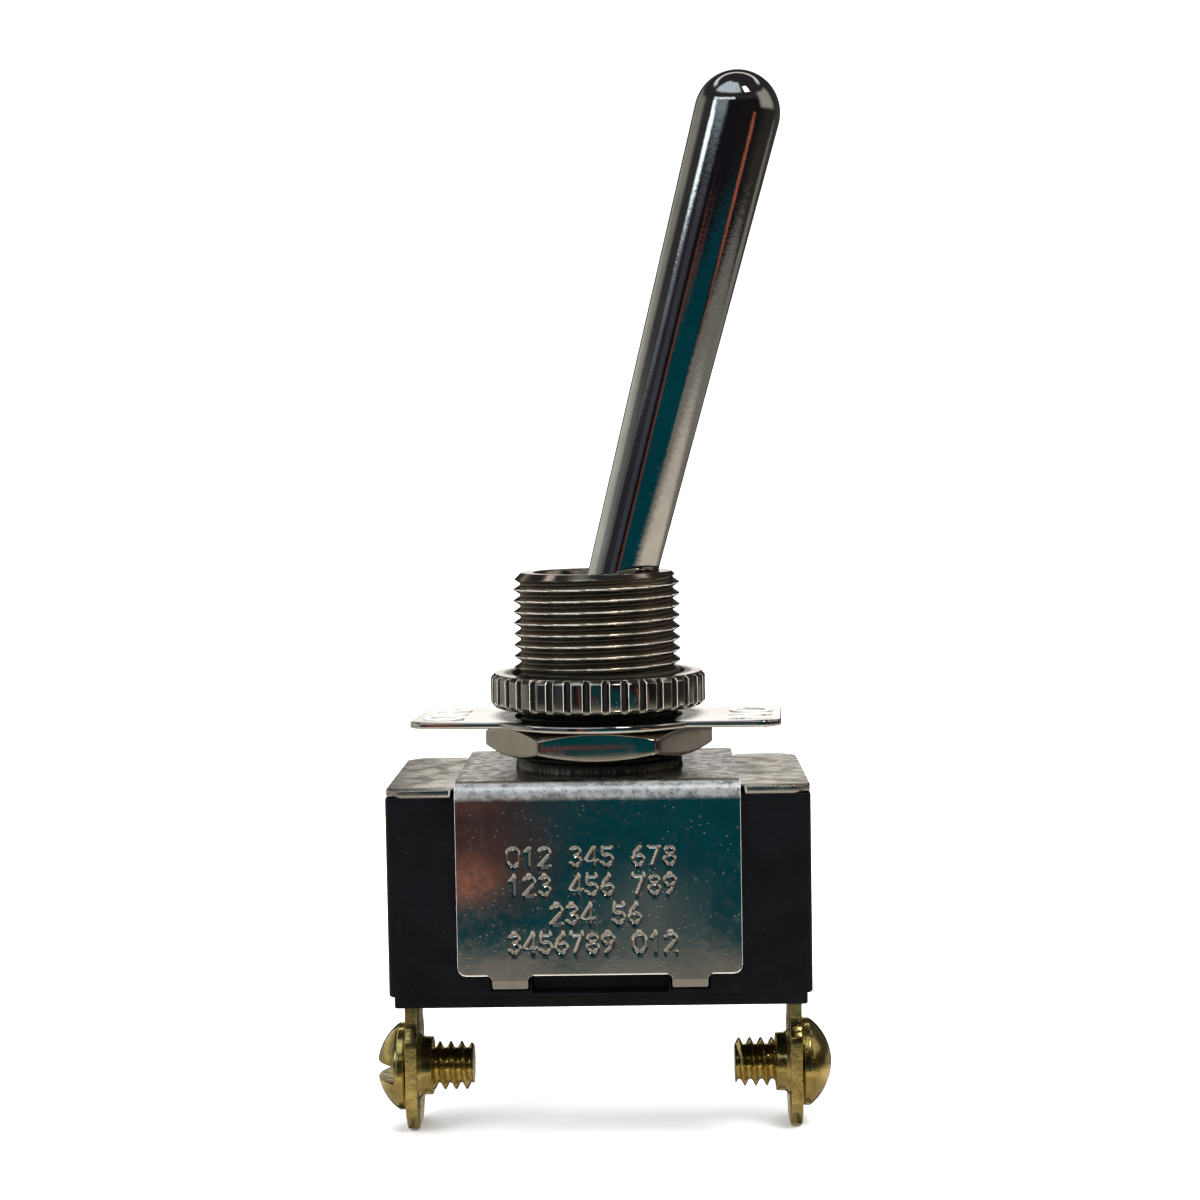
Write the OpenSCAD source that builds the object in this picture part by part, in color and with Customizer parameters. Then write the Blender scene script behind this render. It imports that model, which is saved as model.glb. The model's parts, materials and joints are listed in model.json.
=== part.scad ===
// Panel toggle switch: a bat-handle lever in a threaded bushing, a folded steel
// frame over a moulded case, and two blade terminals with wire screws.
// Millimetres, +Z up. The origin is on the bushing's axis, on top of the hex nut,
// where the panel seats. +X is the ON side, and -Y is the front.
// The lever is drawn leaning to ON, with the contacts closed.

/* [Lever] */
// Lean of the lever to each side of upright, in degrees
lever_lean = 14.9; // [11:0.1:15]
// Length from the pivot to the tip
lever_len = 43.9; // [38:0.1:50]
// Diameter of the bat handle at its tip
lever_tip_d = 6.1; // [5:0.1:7]
// Diameter of the handle where it leaves the ball
lever_neck_d = 4.7; // [4:0.1:4.8]
// Diameter of the pivot ball
ball_d = 8.4; // [8:0.1:8.6]
// Diameter of the tail below the ball
tail_d = 4.4; // [4:0.1:4.6]
// Diameter of the cross pin on which the lever tilts
lever_pin_d = 1.5; // [1.2:0.1:1.6]
// Metal left between the cross pin and the spring's bore
pin_wall = 0.85; // [0.5:0.05:1.1]
// Length of the cross pin
lever_pin_len = 9.5; // [9:0.1:9.6]

/* [Plunger] */
// Diameter of the plunger and of its round nose
plunger_d = 2.5; // [2:0.1:2.8]
// Distance from the pivot to the centre of the plunger's nose
nose_reach = 12.2; // [11.8:0.1:12.4]
// Length of plunger that stands out of the tail, to the centre of its nose
nose_out = 1.6; // [1.4:0.1:1.8]
// Length of the plunger that is guided in the tail
plunger_guide = 4.6; // [4:0.1:5]
// Stroke of the plunger against its spring
plunger_stroke = 0.8; // [0.5:0.1:1]
// Diameter of the spring's wire
spring_wire_d = 0.35; // [0.3:0.05:0.4]
// Turns of the spring
spring_turns = 5; // [4:1:6]

/* [Bushing] */
// Outside diameter of the bushing's thread
thread_d = 11.906; // [11.7:0.1:12.5]
// Pitch of the bushing's thread
thread_pitch = 0.794; // [0.6:0.05:1]
// Depth of the thread
thread_depth = 0.45; // [0.3:0.05:0.5]
// Plain length of the barrel between the frame and the thread
thread_runout = 0.5; // [0.3:0.1:1]
// Width of the thread's crests
thread_crest = 0.1; // [0.05:0.05:0.2]
// Height of the bushing above the panel face
bush_reach = 10.75; // [9.5:0.25:12]
// Depth of the lever's pivot below the bushing's top
pivot_drop = 7.25; // [6.75:0.25:7.5]
// Chamfer on the bushing's open end
bush_chamfer = 0.55; // [0.3:0.05:0.7]
// Height of the lip that holds the ball, above the pivot
lip_rise = 3; // [2.9:0.1:3.2]
// Diameter of the flange under the cover
flange_d = 13.8; // [13:0.1:14]
// Thickness of the flange
flange_t = 0.8; // [0.6:0.1:1]
// Width of the keyway at the back
keyway_w = 1.8; // [1.5:0.1:2]
// Depth of the keyway
keyway_depth = 0.75; // [0.5:0.05:0.8]

/* [Nuts and label plate] */
// Hex nut, across its flats
hex_af = 14.29; // [14:0.1:15.9]
// Thickness of the hex nut
hex_t = 2.2; // [1.8:0.1:2.6]
// Angle of the bevel turned on both of its faces, in degrees
hex_bevel = 24; // [15:1:30]
// Inset of its flat faces' edge circle from the flats
hex_face_inset = 0.35; // [0.1:0.05:0.6]
// Diameter of the knurled nut
knurl_d = 15.4; // [15:0.1:16.5]
// Thickness of the knurled nut
knurl_t = 2.4; // [2:0.1:3]
// Flutes round the knurled nut
knurl_flutes = 36; // [30:1:40]
// Diameter of the cutter that leaves each flute
flute_d = 0.5; // [0.4:0.02:0.8]
// Bevel on both rims of the knurled nut
knurl_bevel = 0.3; // [0.1:0.05:0.5]
// Height of the knurled nut above the label plate
knurl_gap = 0.75; // [0.3:0.05:2]
// Length of the ON-OFF plate over its two tabs
label_len = 26.2; // [24:0.2:30]
// Width of the plate's tabs
label_tab_w = 9.85; // [8:0.05:11]
// Diameter of the plate's round middle
label_disc_d = 16.4; // [15.6:0.1:18]
// Thickness of the plate
label_t = 0.45; // [0.4:0.05:0.8]
// Chamfer on the corners of its tabs
label_chamfer = 1; // [0.6:0.1:1.6]
// Turn of the plate about the bushing, within the play of its key, in degrees
label_turn = -3.5; // [-4:0.5:4]
// Width of the key inside the plate's hole
label_key_w = 1; // [0.8:0.05:1.05]

/* [Frame and cover] */
// Width of the folded frame
frame_w = 19.5; // [17:0.1:21]
// Thickness of the frame's sheet
frame_t = 0.5; // [0.4:0.05:0.6]
// Distance of the frame's top below the hex nut
frame_drop = 0.95; // [0.5:0.05:1.5]
// Length of the frame's legs below its top
leg_len = 13.3; // [12:0.1:13.4]
// Radius of the legs' lower corners
leg_corner_r = 0.6; // [0.3:0.1:1]
// Width of each crimped tab
tab_w = 2.45; // [2:0.05:3]
// Distance between the centres of the two tabs of a leg
tab_pitch = 12.35; // [11:0.05:13]
// Length of the tabs below the legs
tab_len = 1; // [0.8:0.05:1.1]
// Distance by which the tabs' ends are crimped inwards
crimp = 0.4; // [0.2:0.05:0.5]
// Radius at the root of each tab
tab_root_r = 0.35; // [0.2:0.05:0.5]
// Thickness of the cover plate
cover_t = 0.55; // [0.5:0.05:0.7]
// Chamfer on the cover plate's corners
cover_chamfer = 1; // [0.5:0.1:1.5]
// Gap between the frame's bend and the cover plate's notch
cover_gap = 0.27; // [0.2:0.01:0.4]

/* [Case] */
// Width of the case
case_w = 29.2; // [28.8:0.1:31]
// Depth of the case, front to back
case_d = 17.4; // [17:0.1:19]
// Height of the case
case_h = 14.65; // [14.6:0.05:15.5]
// Radius of the case's upright edges
case_edge_r = 0.6; // [0.3:0.1:1]
// Height of the foot under the case
foot_h = 0.85; // [0.5:0.05:1]
// Inset of the foot
foot_inset = 0.35; // [0.2:0.05:0.5]
// Wall at the case's front and back, beside the barrier
case_wall_y = 1.6; // [1.2:0.1:1.65]
// Wall at the case's ends
case_wall_x = 1.8; // [1.5:0.1:2]
// Half the width of the contact chamber
chamber_half = 4.1; // [3.9:0.1:4.4]
// Thickness of the case's floor under the contacts
floor_t = 2.3; // [1.8:0.1:2.4]
// Width of the recess between the tabs, front and back
recess_w = 9.3; // [8:0.1:9.4]
// Depth of that recess
recess_depth = 0.8; // [0.5:0.1:1]
// Height of the recess's lower edge above the case's bottom
recess_rise = 1.1; // [1:0.05:1.2]
// Width of the shallow moulded pad under the case
under_pad_w = 9.1; // [6:0.1:12]
// Height of that pad
under_pad_h = 0.12; // [0.05:0.01:0.3]
// Inset of that pad from the foot's front and back
under_pad_inset = 0.6; // [0:0.1:3]
// Thickness of the barrier between the bushing and the contacts
barrier_t = 1.65; // [1.4:0.05:1.7]
// Depth of the barrier's end blocks below it
barrier_block = 3.5; // [3:0.1:3.6]

/* [Contacts] */
// Distance from the lever's pivot to the rocker's pivot
rocker_drop = 15.8; // [15.6:0.1:15.9]
// Width of the moulded rocker
rocker_w = 3.2; // [2.8:0.1:3.4]
// Length of the moulded rocker
rocker_len = 9.2; // [9:0.1:9.6]
// Height of the moulded rocker above its pivot
rocker_top = 4.7; // [4.4:0.1:4.75]
// Diameter of the rocker's pivot pin
rocker_pin_d = 1.5; // [1.2:0.1:1.6]
// Gap between each end of that pin and the chamber's wall
rocker_pin_gap = 0.5; // [0.3:0.1:0.8]
// Depth of the contact strip's upper face below the rocker's pivot
strip_drop = 1.3; // [1.2:0.05:1.35]
// Thickness of the contact strip
strip_t = 0.6; // [0.5:0.05:0.6]
// Metal left round the pin in the ears
ear_wall = 0.9; // [0.7:0.1:1]
// Distance of the contacts from the rocker's pivot
contact_reach = 8.6; // [8.2:0.1:8.8]
// Diameter of the contacts
contact_d = 3; // [2.4:0.1:3.2]
// Length of strip and arm past the contacts
contact_margin = 0.2; // [0.1:0.1:0.4]
// Height of the moving contact
contact_t = 0.7; // [0.5:0.05:0.75]

/* [Terminals and screws] */
// Thickness of the terminals' brass
blade_t = 0.85; // [0.7:0.05:0.9]
// Inside radius of the terminals' bend over the floor
blade_bend_r = 0.3; // [0.2:0.05:0.4]
// Case wall left outside each terminal
blade_wall = 0.4; // [0.35:0.05:0.6]
// Width of the terminals' necks
neck_w = 4.9; // [4:0.1:5]
// Width of the terminals' pads
pad_w = 6.4; // [6.2:0.1:7.5]
// Length of the necks below the case
neck_len = 2.95; // [2.5:0.05:4]
// Length of the pads
pad_len = 7.5; // [7.2:0.1:9]
// Slope of the pads' shoulders, measured down the blade
pad_shoulder = 0.7; // [0.4:0.1:1.2]
// Chamfer on the pads' lower corners
pad_chamfer = 1.6; // [0.8:0.1:2]
// Distance of the screws' axis below the top of the pads
screw_down = 3.2; // [3.1:0.1:3.6]
// Diameter of the tapped collar
collar_d = 4.25; // [4.1:0.05:4.8]
// Length of the tapped collar
collar_len = 0.95; // [0.7:0.05:1.5]
// Outside diameter of the screws' thread
screw_d = 3.5; // [3.2:0.1:3.6]
// Length of the screws under their heads
screw_len = 4.9; // [4.5:0.1:6]
// Diameter of the screws' heads
head_d = 6.3; // [5.8:0.1:6.4]
// Height of the screws' heads
head_h = 2.15; // [1.5:0.05:2.4]
// Height of the heads' straight rims
head_rim = 0.5; // [0.3:0.05:1.1]
// Width of the driver slots
slot_w = 1.25; // [0.9:0.05:1.4]
// Depth of the driver slots
slot_depth = 1.4; // [0.6:0.05:1.5]
// Gap for the wire between a head and its pad
wire_gap = 0.15; // [0.1:0.05:1]
// Turn of the right screw's slot from level, in degrees
right_slot_turn = 65; // [0:5:90]

/* [Fits] */
// Radial clearance of running and sliding fits
run_fit = 0.05; // [0.03:0.01:0.08]
// Clearance of the lever in the bushing's mouth
mouth_clear = 0.22; // [0.15:0.01:0.3]
// Clearance of moulded pieces in the case
mould_clear = 0.1; // [0.05:0.05:0.15]
// Clearance beside the turning contact strip
side_clear = 0.2; // [0.15:0.05:0.25]

/* [Hidden] */
$fn = 64;
cut = 1; // overrun of a cutting shape past the face it cuts
lap = 0.25; // overlap of two shapes that are joined

// The stack, from the panel face down
frame_top = -hex_t - frame_drop;
cover_top = frame_top - frame_t;
case_top = cover_top - cover_t;
case_bottom = case_top - case_h;
foot_top = case_bottom + foot_h;
barrier_top = case_top - flange_t - run_fit;
shelf_z = barrier_top - barrier_t;
chamber_r = 3 * mould_clear;
floor_z = case_bottom + floor_t;

// Lever, ball and bushing
pivot_z = bush_reach - pivot_drop;
tip_r = lever_tip_d / 2;
tip_s = lever_len - tip_r;
neck_r = lever_neck_d / 2;
ball_r = ball_d / 2;
neck_s = sqrt(pow(ball_r, 2) - pow(neck_r, 2));
taper = (tip_r - neck_r) / (tip_s - neck_s);
tail_r = tail_d / 2;
tail_len = nose_reach - nose_out;
plunger_r = plunger_d / 2;
spring_top = -lever_pin_d / 2 - pin_wall;
plunger_top = -tail_len + plunger_guide;
thread_r = thread_d / 2;
seat_r = ball_r + run_fit;
flange_bottom = case_top - flange_t;
// Radius that the leaning lever sweeps at a height above the pivot
function handle_sweep(h) = h * tan(lever_lean) + (neck_r + taper * max(h - neck_s, 0)) / cos(lever_lean);
// Radius that the leaning tail sweeps at a depth below the pivot
function tail_sweep(h) = h * tan(lever_lean) + tail_r / cos(lever_lean);
lip_r = handle_sweep(lip_rise) + mouth_clear;
mouth_r = handle_sweep(pivot_drop) + mouth_clear;
flare_drop = (seat_r - mouth_clear - tail_r / cos(lever_lean)) / tan(lever_lean);
flare_r = tail_sweep(pivot_z - flange_bottom) + mouth_clear;

// Rocker: it turns half as far as the lever, the other way
rocker_share = 0.5;
rocker_z = pivot_z - rocker_drop;
rocker_lean = lever_lean * rocker_share;
strip_z = rocker_z - strip_drop;
contact_z = strip_z - strip_t - contact_t;
arm_top = floor_z + blade_t;
trough_r = plunger_r + run_fit;

// Terminals
blade_x = case_w / 2 - blade_wall;
pad_top = case_bottom - neck_len;
pad_low = pad_top - pad_len;
screw_z = pad_top - screw_down;
head_x = blade_x + wire_gap;

// A rectangle about the origin, with round corners
module round_rect(w, d, r) {
    square([w - 2 * r, d], center = true);
    square([w, d - 2 * r], center = true);
    for (x = [-1, 1], y = [-1, 1])
        translate([x * (w / 2 - r), y * (d / 2 - r)])
            circle(r);
}

// A rectangle about the origin, with chamfered corners
module chamfer_rect(w, d, c) {
    polygon([
        [-w / 2 + c, -d / 2], [w / 2 - c, -d / 2], [w / 2, -d / 2 + c], [w / 2, d / 2 - c],
        [w / 2 - c, d / 2], [-w / 2 + c, d / 2], [-w / 2, d / 2 - c], [-w / 2, -d / 2 + c]
    ]);
}

// An upright block with round upright edges, from z0 up to z1
module block(w, d, r, z0, z1) {
    translate([0, 0, z0])
        linear_extrude(z1 - z0)
            round_rect(w, d, r);
}

// A plain box between two corners
module box(lo, hi) {
    translate(lo)
        cube(hi - lo);
}

// A disc along Y, centred on the XZ plane
module disc_y(r, w) {
    rotate([90, 0, 0])
        cylinder(r = r, h = w, center = true);
}

// The case's two ends, and its front and back, are mirror images
module at_end(side) {
    mirror([side < 0 ? 1 : 0, 0, 0])
        children();
}

module at_face(side) {
    mirror([0, side < 0 ? 1 : 0, 0])
        children();
}

// The lever's own axis, from its pivot
module along_lever() {
    translate([0, 0, pivot_z])
        rotate([0, lever_lean, 0])
            children();
}

// The rocker's place, turned from level by the lever's lean
module at_rocker(turn = 0) {
    translate([0, 0, rocker_z])
        rotate([0, turn, 0])
            children();
}

// ---- Lever group ----

module lever() {
    color("silver")
        along_lever()
            difference() {
                union() {
                    translate([0, 0, tip_s])
                        sphere(tip_r);
                    translate([0, 0, neck_s / 2])
                        cylinder(r1 = neck_r - taper * neck_s / 2, r2 = tip_r, h = tip_s - neck_s / 2);
                    sphere(ball_r);
                    translate([0, 0, -tail_len])
                        cylinder(r = tail_r, h = tail_len);
                }
                translate([0, 0, -tail_len - cut])
                    cylinder(r = plunger_r + run_fit, h = tail_len + cut + spring_top);
                disc_y(lever_pin_d / 2, ball_d + 2 * cut);
            }
}

module lever_pin() {
    color("gray")
        along_lever()
            disc_y(lever_pin_d / 2, lever_pin_len);
}

module plunger() {
    color("ivory")
        along_lever() {
            translate([0, 0, -nose_reach])
                cylinder(r = plunger_r, h = nose_reach + plunger_top);
            translate([0, 0, -nose_reach])
                sphere(plunger_r);
        }
}

// A helix of round wire: each ring stands in the plane through the coil's axis
module plunger_spring() {
    wire_r = spring_wire_d / 2;
    coil_r = plunger_r - wire_r;
    steps = 20; // rings in a turn
    sides = 8;  // corners of a ring
    rings = spring_turns * steps;
    low = plunger_top + wire_r;
    high = spring_top - wire_r;
    points = [
        for (i = [0:rings], j = [0:sides - 1])
            let (a = 360 * i / steps, b = 360 * j / sides, r = coil_r + wire_r * cos(b))
                [r * cos(a), r * sin(a), low + (high - low) * i / rings + wire_r * sin(b)]
    ];
    faces = concat(
        [[for (j = [0:sides - 1]) j]],
        [for (i = [0:rings - 1], j = [0:sides - 1])
            [i * sides + j, (i + 1) * sides + j,
             (i + 1) * sides + (j + 1) % sides, i * sides + (j + 1) % sides]],
        [[for (j = [sides - 1:-1:0]) rings * sides + j]]
    );
    color("gainsboro")
        along_lever()
            polyhedron(points, faces, convexity = 10);
}

// ---- Bushing, nuts and label plate ----

// Barrel whose thread is cut as rings, from the chamfer down to just above the frame
module threaded_barrel() {
    thread_top = bush_reach - bush_chamfer;
    rings = floor((thread_top - frame_top - thread_runout) / thread_pitch);
    rotate_extrude()
        polygon([
            [0, case_top - lap],
            [thread_r, case_top - lap],
            for (i = [rings:-1:1])
                let (ring_z = thread_top - i * thread_pitch)
                each [
                    [thread_r, ring_z + thread_crest / 2],
                    [thread_r - thread_depth, ring_z + thread_pitch / 2],
                    [thread_r, ring_z + thread_pitch - thread_crest / 2]
                ],
            [thread_r, thread_top],
            [thread_r - bush_chamfer, bush_reach],
            [0, bush_reach]
        ]);
}

module bushing() {
    color("dimgray")
        difference() {
            union() {
                threaded_barrel();
                translate([0, 0, flange_bottom])
                    cylinder(d = flange_d, h = flange_t);
            }
            translate([0, 0, pivot_z]) {
                // Conical mouth, lip, round seat and bore for the ball
                mouth_slope = (mouth_r - lip_r) / (pivot_drop - lip_rise);
                translate([0, 0, lip_rise])
                    cylinder(r1 = lip_r, r2 = mouth_r + mouth_slope * cut, h = pivot_drop - lip_rise + cut);
                cylinder(r = lip_r, h = lip_rise + lap);
                sphere(seat_r);
                translate([0, 0, -flare_drop])
                    cylinder(r = seat_r, h = flare_drop);
                // Flare that clears the tail
                flare_h = pivot_z - flange_bottom - flare_drop;
                flare_slope = (flare_r - seat_r) / flare_h;
                translate([0, 0, -flare_drop - flare_h - cut])
                    cylinder(r1 = flare_r + flare_slope * cut, r2 = seat_r, h = flare_h + cut);
                // Slots in which the cross pin turns, open at the bottom
                pin_slot_r = lever_pin_d / 2 + run_fit;
                pin_slot_len = lever_pin_len + 2 * run_fit;
                disc_y(pin_slot_r, pin_slot_len);
                box([-pin_slot_r, -pin_slot_len / 2, flange_bottom - pivot_z - cut],
                    [pin_slot_r, pin_slot_len / 2, 0]);
            }
            // Keyway at the back
            box([-keyway_w / 2, thread_r - keyway_depth, frame_top],
                [keyway_w / 2, thread_r + cut, bush_reach + cut]);
        }
}

module hex_nut() {
    corner_r = hex_af / 2 / cos(30);
    turned_r = corner_r + lap;
    face_r = hex_af / 2 - hex_face_inset;
    drop = (turned_r - face_r) * tan(hex_bevel);
    color("darkgray")
        difference() {
            intersection() {
                translate([0, 0, -hex_t])
                    cylinder(r = corner_r, h = hex_t, $fn = 6);
                // Both faces are turned to a blunt cone
                rotate_extrude()
                    polygon([
                        [0, -hex_t], [face_r, -hex_t], [turned_r, drop - hex_t],
                        [turned_r, -drop], [face_r, 0], [0, 0]
                    ]);
            }
            translate([0, 0, -hex_t - cut])
                cylinder(r = thread_r + run_fit, h = hex_t + 2 * cut);
        }
}

module label_plate() {
    hole_r = thread_r + run_fit;
    key_r = thread_r - keyway_depth + run_fit;
    color("lightgray")
        rotate([0, 0, label_turn])
            linear_extrude(label_t) {
                difference() {
                    union() {
                        chamfer_rect(label_len, label_tab_w, label_chamfer);
                        circle(d = label_disc_d);
                    }
                    circle(hole_r);
                }
                translate([-label_key_w / 2, key_r])
                    square([label_key_w, hole_r - key_r + label_t]);
            }
}

module knurled_nut() {
    low = label_t + knurl_gap;
    edge = knurl_bevel;
    nut_r = knurl_d / 2;
    color("gray")
        difference() {
            union() {
                translate([0, 0, low])
                    cylinder(r1 = nut_r - edge, r2 = nut_r, h = edge);
                translate([0, 0, low + edge])
                    cylinder(r = nut_r, h = knurl_t - 2 * edge);
                translate([0, 0, low + knurl_t - edge])
                    cylinder(r1 = nut_r, r2 = nut_r - edge, h = edge);
            }
            translate([0, 0, low - cut])
                cylinder(r = thread_r + run_fit, h = knurl_t + 2 * cut);
            for (i = [0:knurl_flutes - 1])
                rotate([0, 0, 360 * (i + 0.5) / knurl_flutes])
                    translate([nut_r, 0, low - cut])
                        cylinder(d = flute_d, h = knurl_t + 2 * cut, $fn = 24);
        }
}

// ---- Frame and cover ----

// End view of a block with two round upper corners, and drawn in below a height
module fold_block(half, top, r, bend, low, inset) {
    polygon([
        [-half, top - r], [-half, bend], [inset - half, low],
        [half - inset, low], [half, bend], [half, top - r]
    ]);
    translate([r - half, top - 2 * r])
        square([2 * (half - r), 2 * r]);
    for (side = [-1, 1])
        translate([side * (half - r), top - r])
            circle(r);
}

// The frame's front outline: a sheet with round lower corners and two tabs a leg
module leg_outline() {
    leg_low = frame_top - leg_len;
    half = frame_w / 2;
    r = leg_corner_r;
    translate([-half, leg_low + r])
        square([frame_w, leg_len - r + cut]);
    translate([r - half, leg_low])
        square([frame_w - 2 * r, leg_len]);
    for (side = [-1, 1]) {
        translate([side * (half - r), leg_low + r])
            circle(r);
        translate([side * tab_pitch / 2, leg_low]) {
            translate([-tab_w / 2, -tab_len])
                square([tab_w, tab_len + cut]);
            // Concave roots of the tab
            difference() {
                translate([-tab_w / 2 - tab_root_r, -tab_root_r])
                    square([tab_w + 2 * tab_root_r, tab_root_r + lap]);
                for (edge = [-1, 1])
                    translate([edge * (tab_w / 2 + tab_root_r), -tab_root_r])
                        circle(tab_root_r, $fn = 32);
            }
        }
    }
}

// A bent sheet less what it is bent round, its tabs' ends crimped inwards
module frame() {
    bend_r = cover_t - run_fit;
    half_in = case_d / 2;
    half_out = half_in + frame_t;
    crimp_z = frame_top - leg_len - tab_root_r;
    tab_low = frame_top - leg_len - tab_len;
    slope = crimp / (crimp_z - tab_low);
    color("lightslategray")
        difference() {
            intersection() {
                rotate([90, 0, 90])
                    linear_extrude(frame_w + 2 * cut, center = true)
                        difference() {
                            fold_block(half_out, frame_top, bend_r + frame_t,
                                       crimp_z, tab_low, crimp);
                            fold_block(half_in, cover_top, bend_r,
                                       crimp_z, tab_low - cut, crimp + slope * cut);
                        }
                rotate([90, 0, 0])
                    linear_extrude(2 * half_out + 2 * cut, center = true)
                        leg_outline();
            }
            translate([0, 0, cover_top - cut])
                cylinder(r = thread_r + run_fit, h = frame_t + 2 * cut);
        }
}

module cover_plate() {
    notch_w = frame_w + 2 * cover_gap;
    notch_depth = cover_t + cover_gap;
    color("silver")
        difference() {
            translate([0, 0, case_top])
                linear_extrude(cover_t)
                    difference() {
                        chamfer_rect(case_w, case_d, cover_chamfer);
                        for (side = [-1, 1])
                            at_face(side)
                                translate([-notch_w / 2, case_d / 2 - notch_depth])
                                    square([notch_w, notch_depth + cut]);
                    }
            translate([0, 0, case_top - cut])
                cylinder(r = thread_r + run_fit, h = cover_t + 2 * cut);
        }
}

// ---- Case and barrier ----

module case() {
    leg_low = frame_top - leg_len;
    room_w = case_w - 2 * case_wall_x;
    room_d = case_d - 2 * case_wall_y;
    slot_half = neck_w / 2 + mould_clear;
    notch_half = tab_w / 2 + mould_clear;
    color("#17171b")
        difference() {
            union() {
                block(case_w, case_d, case_edge_r, foot_top, case_top);
                block(case_w - 2 * foot_inset, case_d - 2 * foot_inset, case_edge_r,
                      case_bottom, foot_top + lap);
                // Moulded pad under the middle
                pad_half = case_d / 2 - foot_inset - under_pad_inset;
                box([-under_pad_w / 2, -pad_half, case_bottom - under_pad_h],
                    [under_pad_w / 2, pad_half, case_bottom + lap]);
            }
            // Room for the flange and the barrier, and the narrower contact chamber
            block(room_w, room_d, case_edge_r, shelf_z, case_top + cut);
            block(room_w, 2 * chamber_half, chamber_r, floor_z, shelf_z + cut);
            for (side = [-1, 1])
                at_end(side) {
                    // Way in for the terminal's arm over the floor
                    box([room_w / 2 - cut, -slot_half, floor_z], [blade_x, slot_half, arm_top + mould_clear]);
                    // Slot for its neck, wider at the bend and open to the end of the foot
                    box([blade_x - blade_t - mould_clear, -slot_half, case_bottom - cut],
                        [blade_x, slot_half, arm_top]);
                    box([blade_x - blade_t - blade_bend_r, -slot_half, floor_z - blade_bend_r],
                        [blade_x, slot_half, arm_top]);
                    box([blade_x - lap, -slot_half, case_bottom - cut],
                        [case_w / 2 + cut, slot_half, foot_top]);
                }
            for (side = [-1, 1])
                at_face(side) {
                    // Recess between the tabs
                    box([-recess_w / 2, case_d / 2 - recess_depth, case_bottom + recess_rise],
                        [recess_w / 2, case_d / 2 + cut, leg_low + cut]);
                    // Notches that the tabs are crimped into
                    for (x = [-tab_pitch / 2, tab_pitch / 2])
                        box([x - notch_half, case_d / 2 - crimp - mould_clear,
                             leg_low - tab_len - mould_clear],
                            [x + notch_half, case_d / 2 + cut, leg_low - tab_root_r / 2]);
                }
        }
}

// Moulded barrier: a plate on the case's shelf, with end blocks beside the rocker
module barrier() {
    room_w = case_w - 2 * case_wall_x - 2 * mould_clear;
    room_d = case_d - 2 * case_wall_y - 2 * mould_clear;
    swing = rocker_len / 2 * cos(rocker_lean) + rocker_top * sin(rocker_lean) + 3 * side_clear;
    tail_reach = tail_len * sin(lever_lean) + tail_r * cos(lever_lean) + 2 * side_clear;
    color("sienna")
        difference() {
            union() {
                block(room_w, room_d, case_edge_r, shelf_z, barrier_top);
                for (side = [-1, 1])
                    at_end(side)
                        box([swing, mould_clear - chamber_half, shelf_z - barrier_block],
                            [room_w / 2, chamber_half - mould_clear, shelf_z + lap]);
            }
            box([-tail_reach, -tail_r - side_clear, shelf_z - cut],
                [tail_reach, tail_r + side_clear, barrier_top + cut]);
        }
}

// ---- Rocker and contacts ----

// Place of the plunger's nose, seen from the rocker, when the lever leans by a.
// The nose runs on a circle about the lever's pivot while the rocker turns back
// by its share, so this is the one path on which lever and rocker stay in mesh.
function nose_path(a) =
    let (k = rocker_share * a,
         x = -nose_reach * sin(a),
         z = rocker_drop - nose_reach * cos(a))
    [x * cos(k) + z * sin(k), -x * sin(k) + z * cos(k)];

// The path moved outwards by the nose's radius: the wall of the trough
function trough_wall(a) =
    let (d = 0.25, // step over which the path's direction is taken
         p = nose_path(a),
         q = nose_path(a + d) - nose_path(a - d),
         n = q / norm(q))
    p + trough_r * [-n[1], n[0]];

module rocker() {
    steps = 12; // stretches of the trough to each side
    half = rocker_len / 2;
    deep = -strip_drop - half; // cut off level by the contact strip
    last = nose_path(lever_lean);
    color("saddlebrown")
        difference() {
            intersection() {
                at_rocker(-rocker_lean)
                    rotate([90, 0, 0])
                        linear_extrude(rocker_w, center = true)
                            difference() {
                                translate([-half, deep])
                                    square([rocker_len, rocker_top - deep]);
                                // The trough between the nose's two last places
                                polygon(concat(
                                    [for (i = [-steps:steps]) trough_wall(lever_lean * i / steps)],
                                    [[last[0], rocker_top + cut], [-last[0], rocker_top + cut]]
                                ));
                                // Its round ends
                                for (side = [-1, 1]) {
                                    translate([side * last[0], last[1]])
                                        circle(trough_r);
                                    translate([side * last[0] - trough_r, last[1]])
                                        square([2 * trough_r, rocker_top - last[1] + cut]);
                                }
                            }
                at_rocker()
                    translate([0, 0, rocker_top - strip_drop])
                        cube([2 * rocker_len, 2 * rocker_w, 2 * rocker_top], center = true);
            }
            at_rocker()
                disc_y(rocker_pin_d / 2 + run_fit, 2 * rocker_w);
        }
}

// A strip under the rocker with two ears that turn on the pin
module contact_strip() {
    ear_in = rocker_w / 2 + run_fit;
    ear_out = ear_in + strip_t;
    ear_r = rocker_pin_d / 2 + ear_wall;
    low = -strip_drop - strip_t;
    color("peru")
        at_rocker()
            difference() {
                union() {
                    box([-contact_reach - contact_d / 2 - contact_margin, -rocker_w / 2, low],
                        [rocker_len / 2, rocker_w / 2, -strip_drop]);
                    box([-ear_r, -ear_out, low], [ear_r, ear_out, -strip_drop]);
                    for (side = [-1, 1])
                        translate([0, side * (ear_in + strip_t / 2), 0]) {
                            disc_y(ear_r, strip_t);
                            translate([-ear_r, -strip_t / 2, low])
                                cube([2 * ear_r, strip_t, -low]);
                        }
                }
                disc_y(rocker_pin_d / 2 + run_fit, 4 * rocker_w);
            }
}

module moving_contact() {
    color("lightgray")
        translate([-contact_reach, 0, contact_z])
            cylinder(d = contact_d, h = contact_t, $fn = 48);
}

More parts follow.
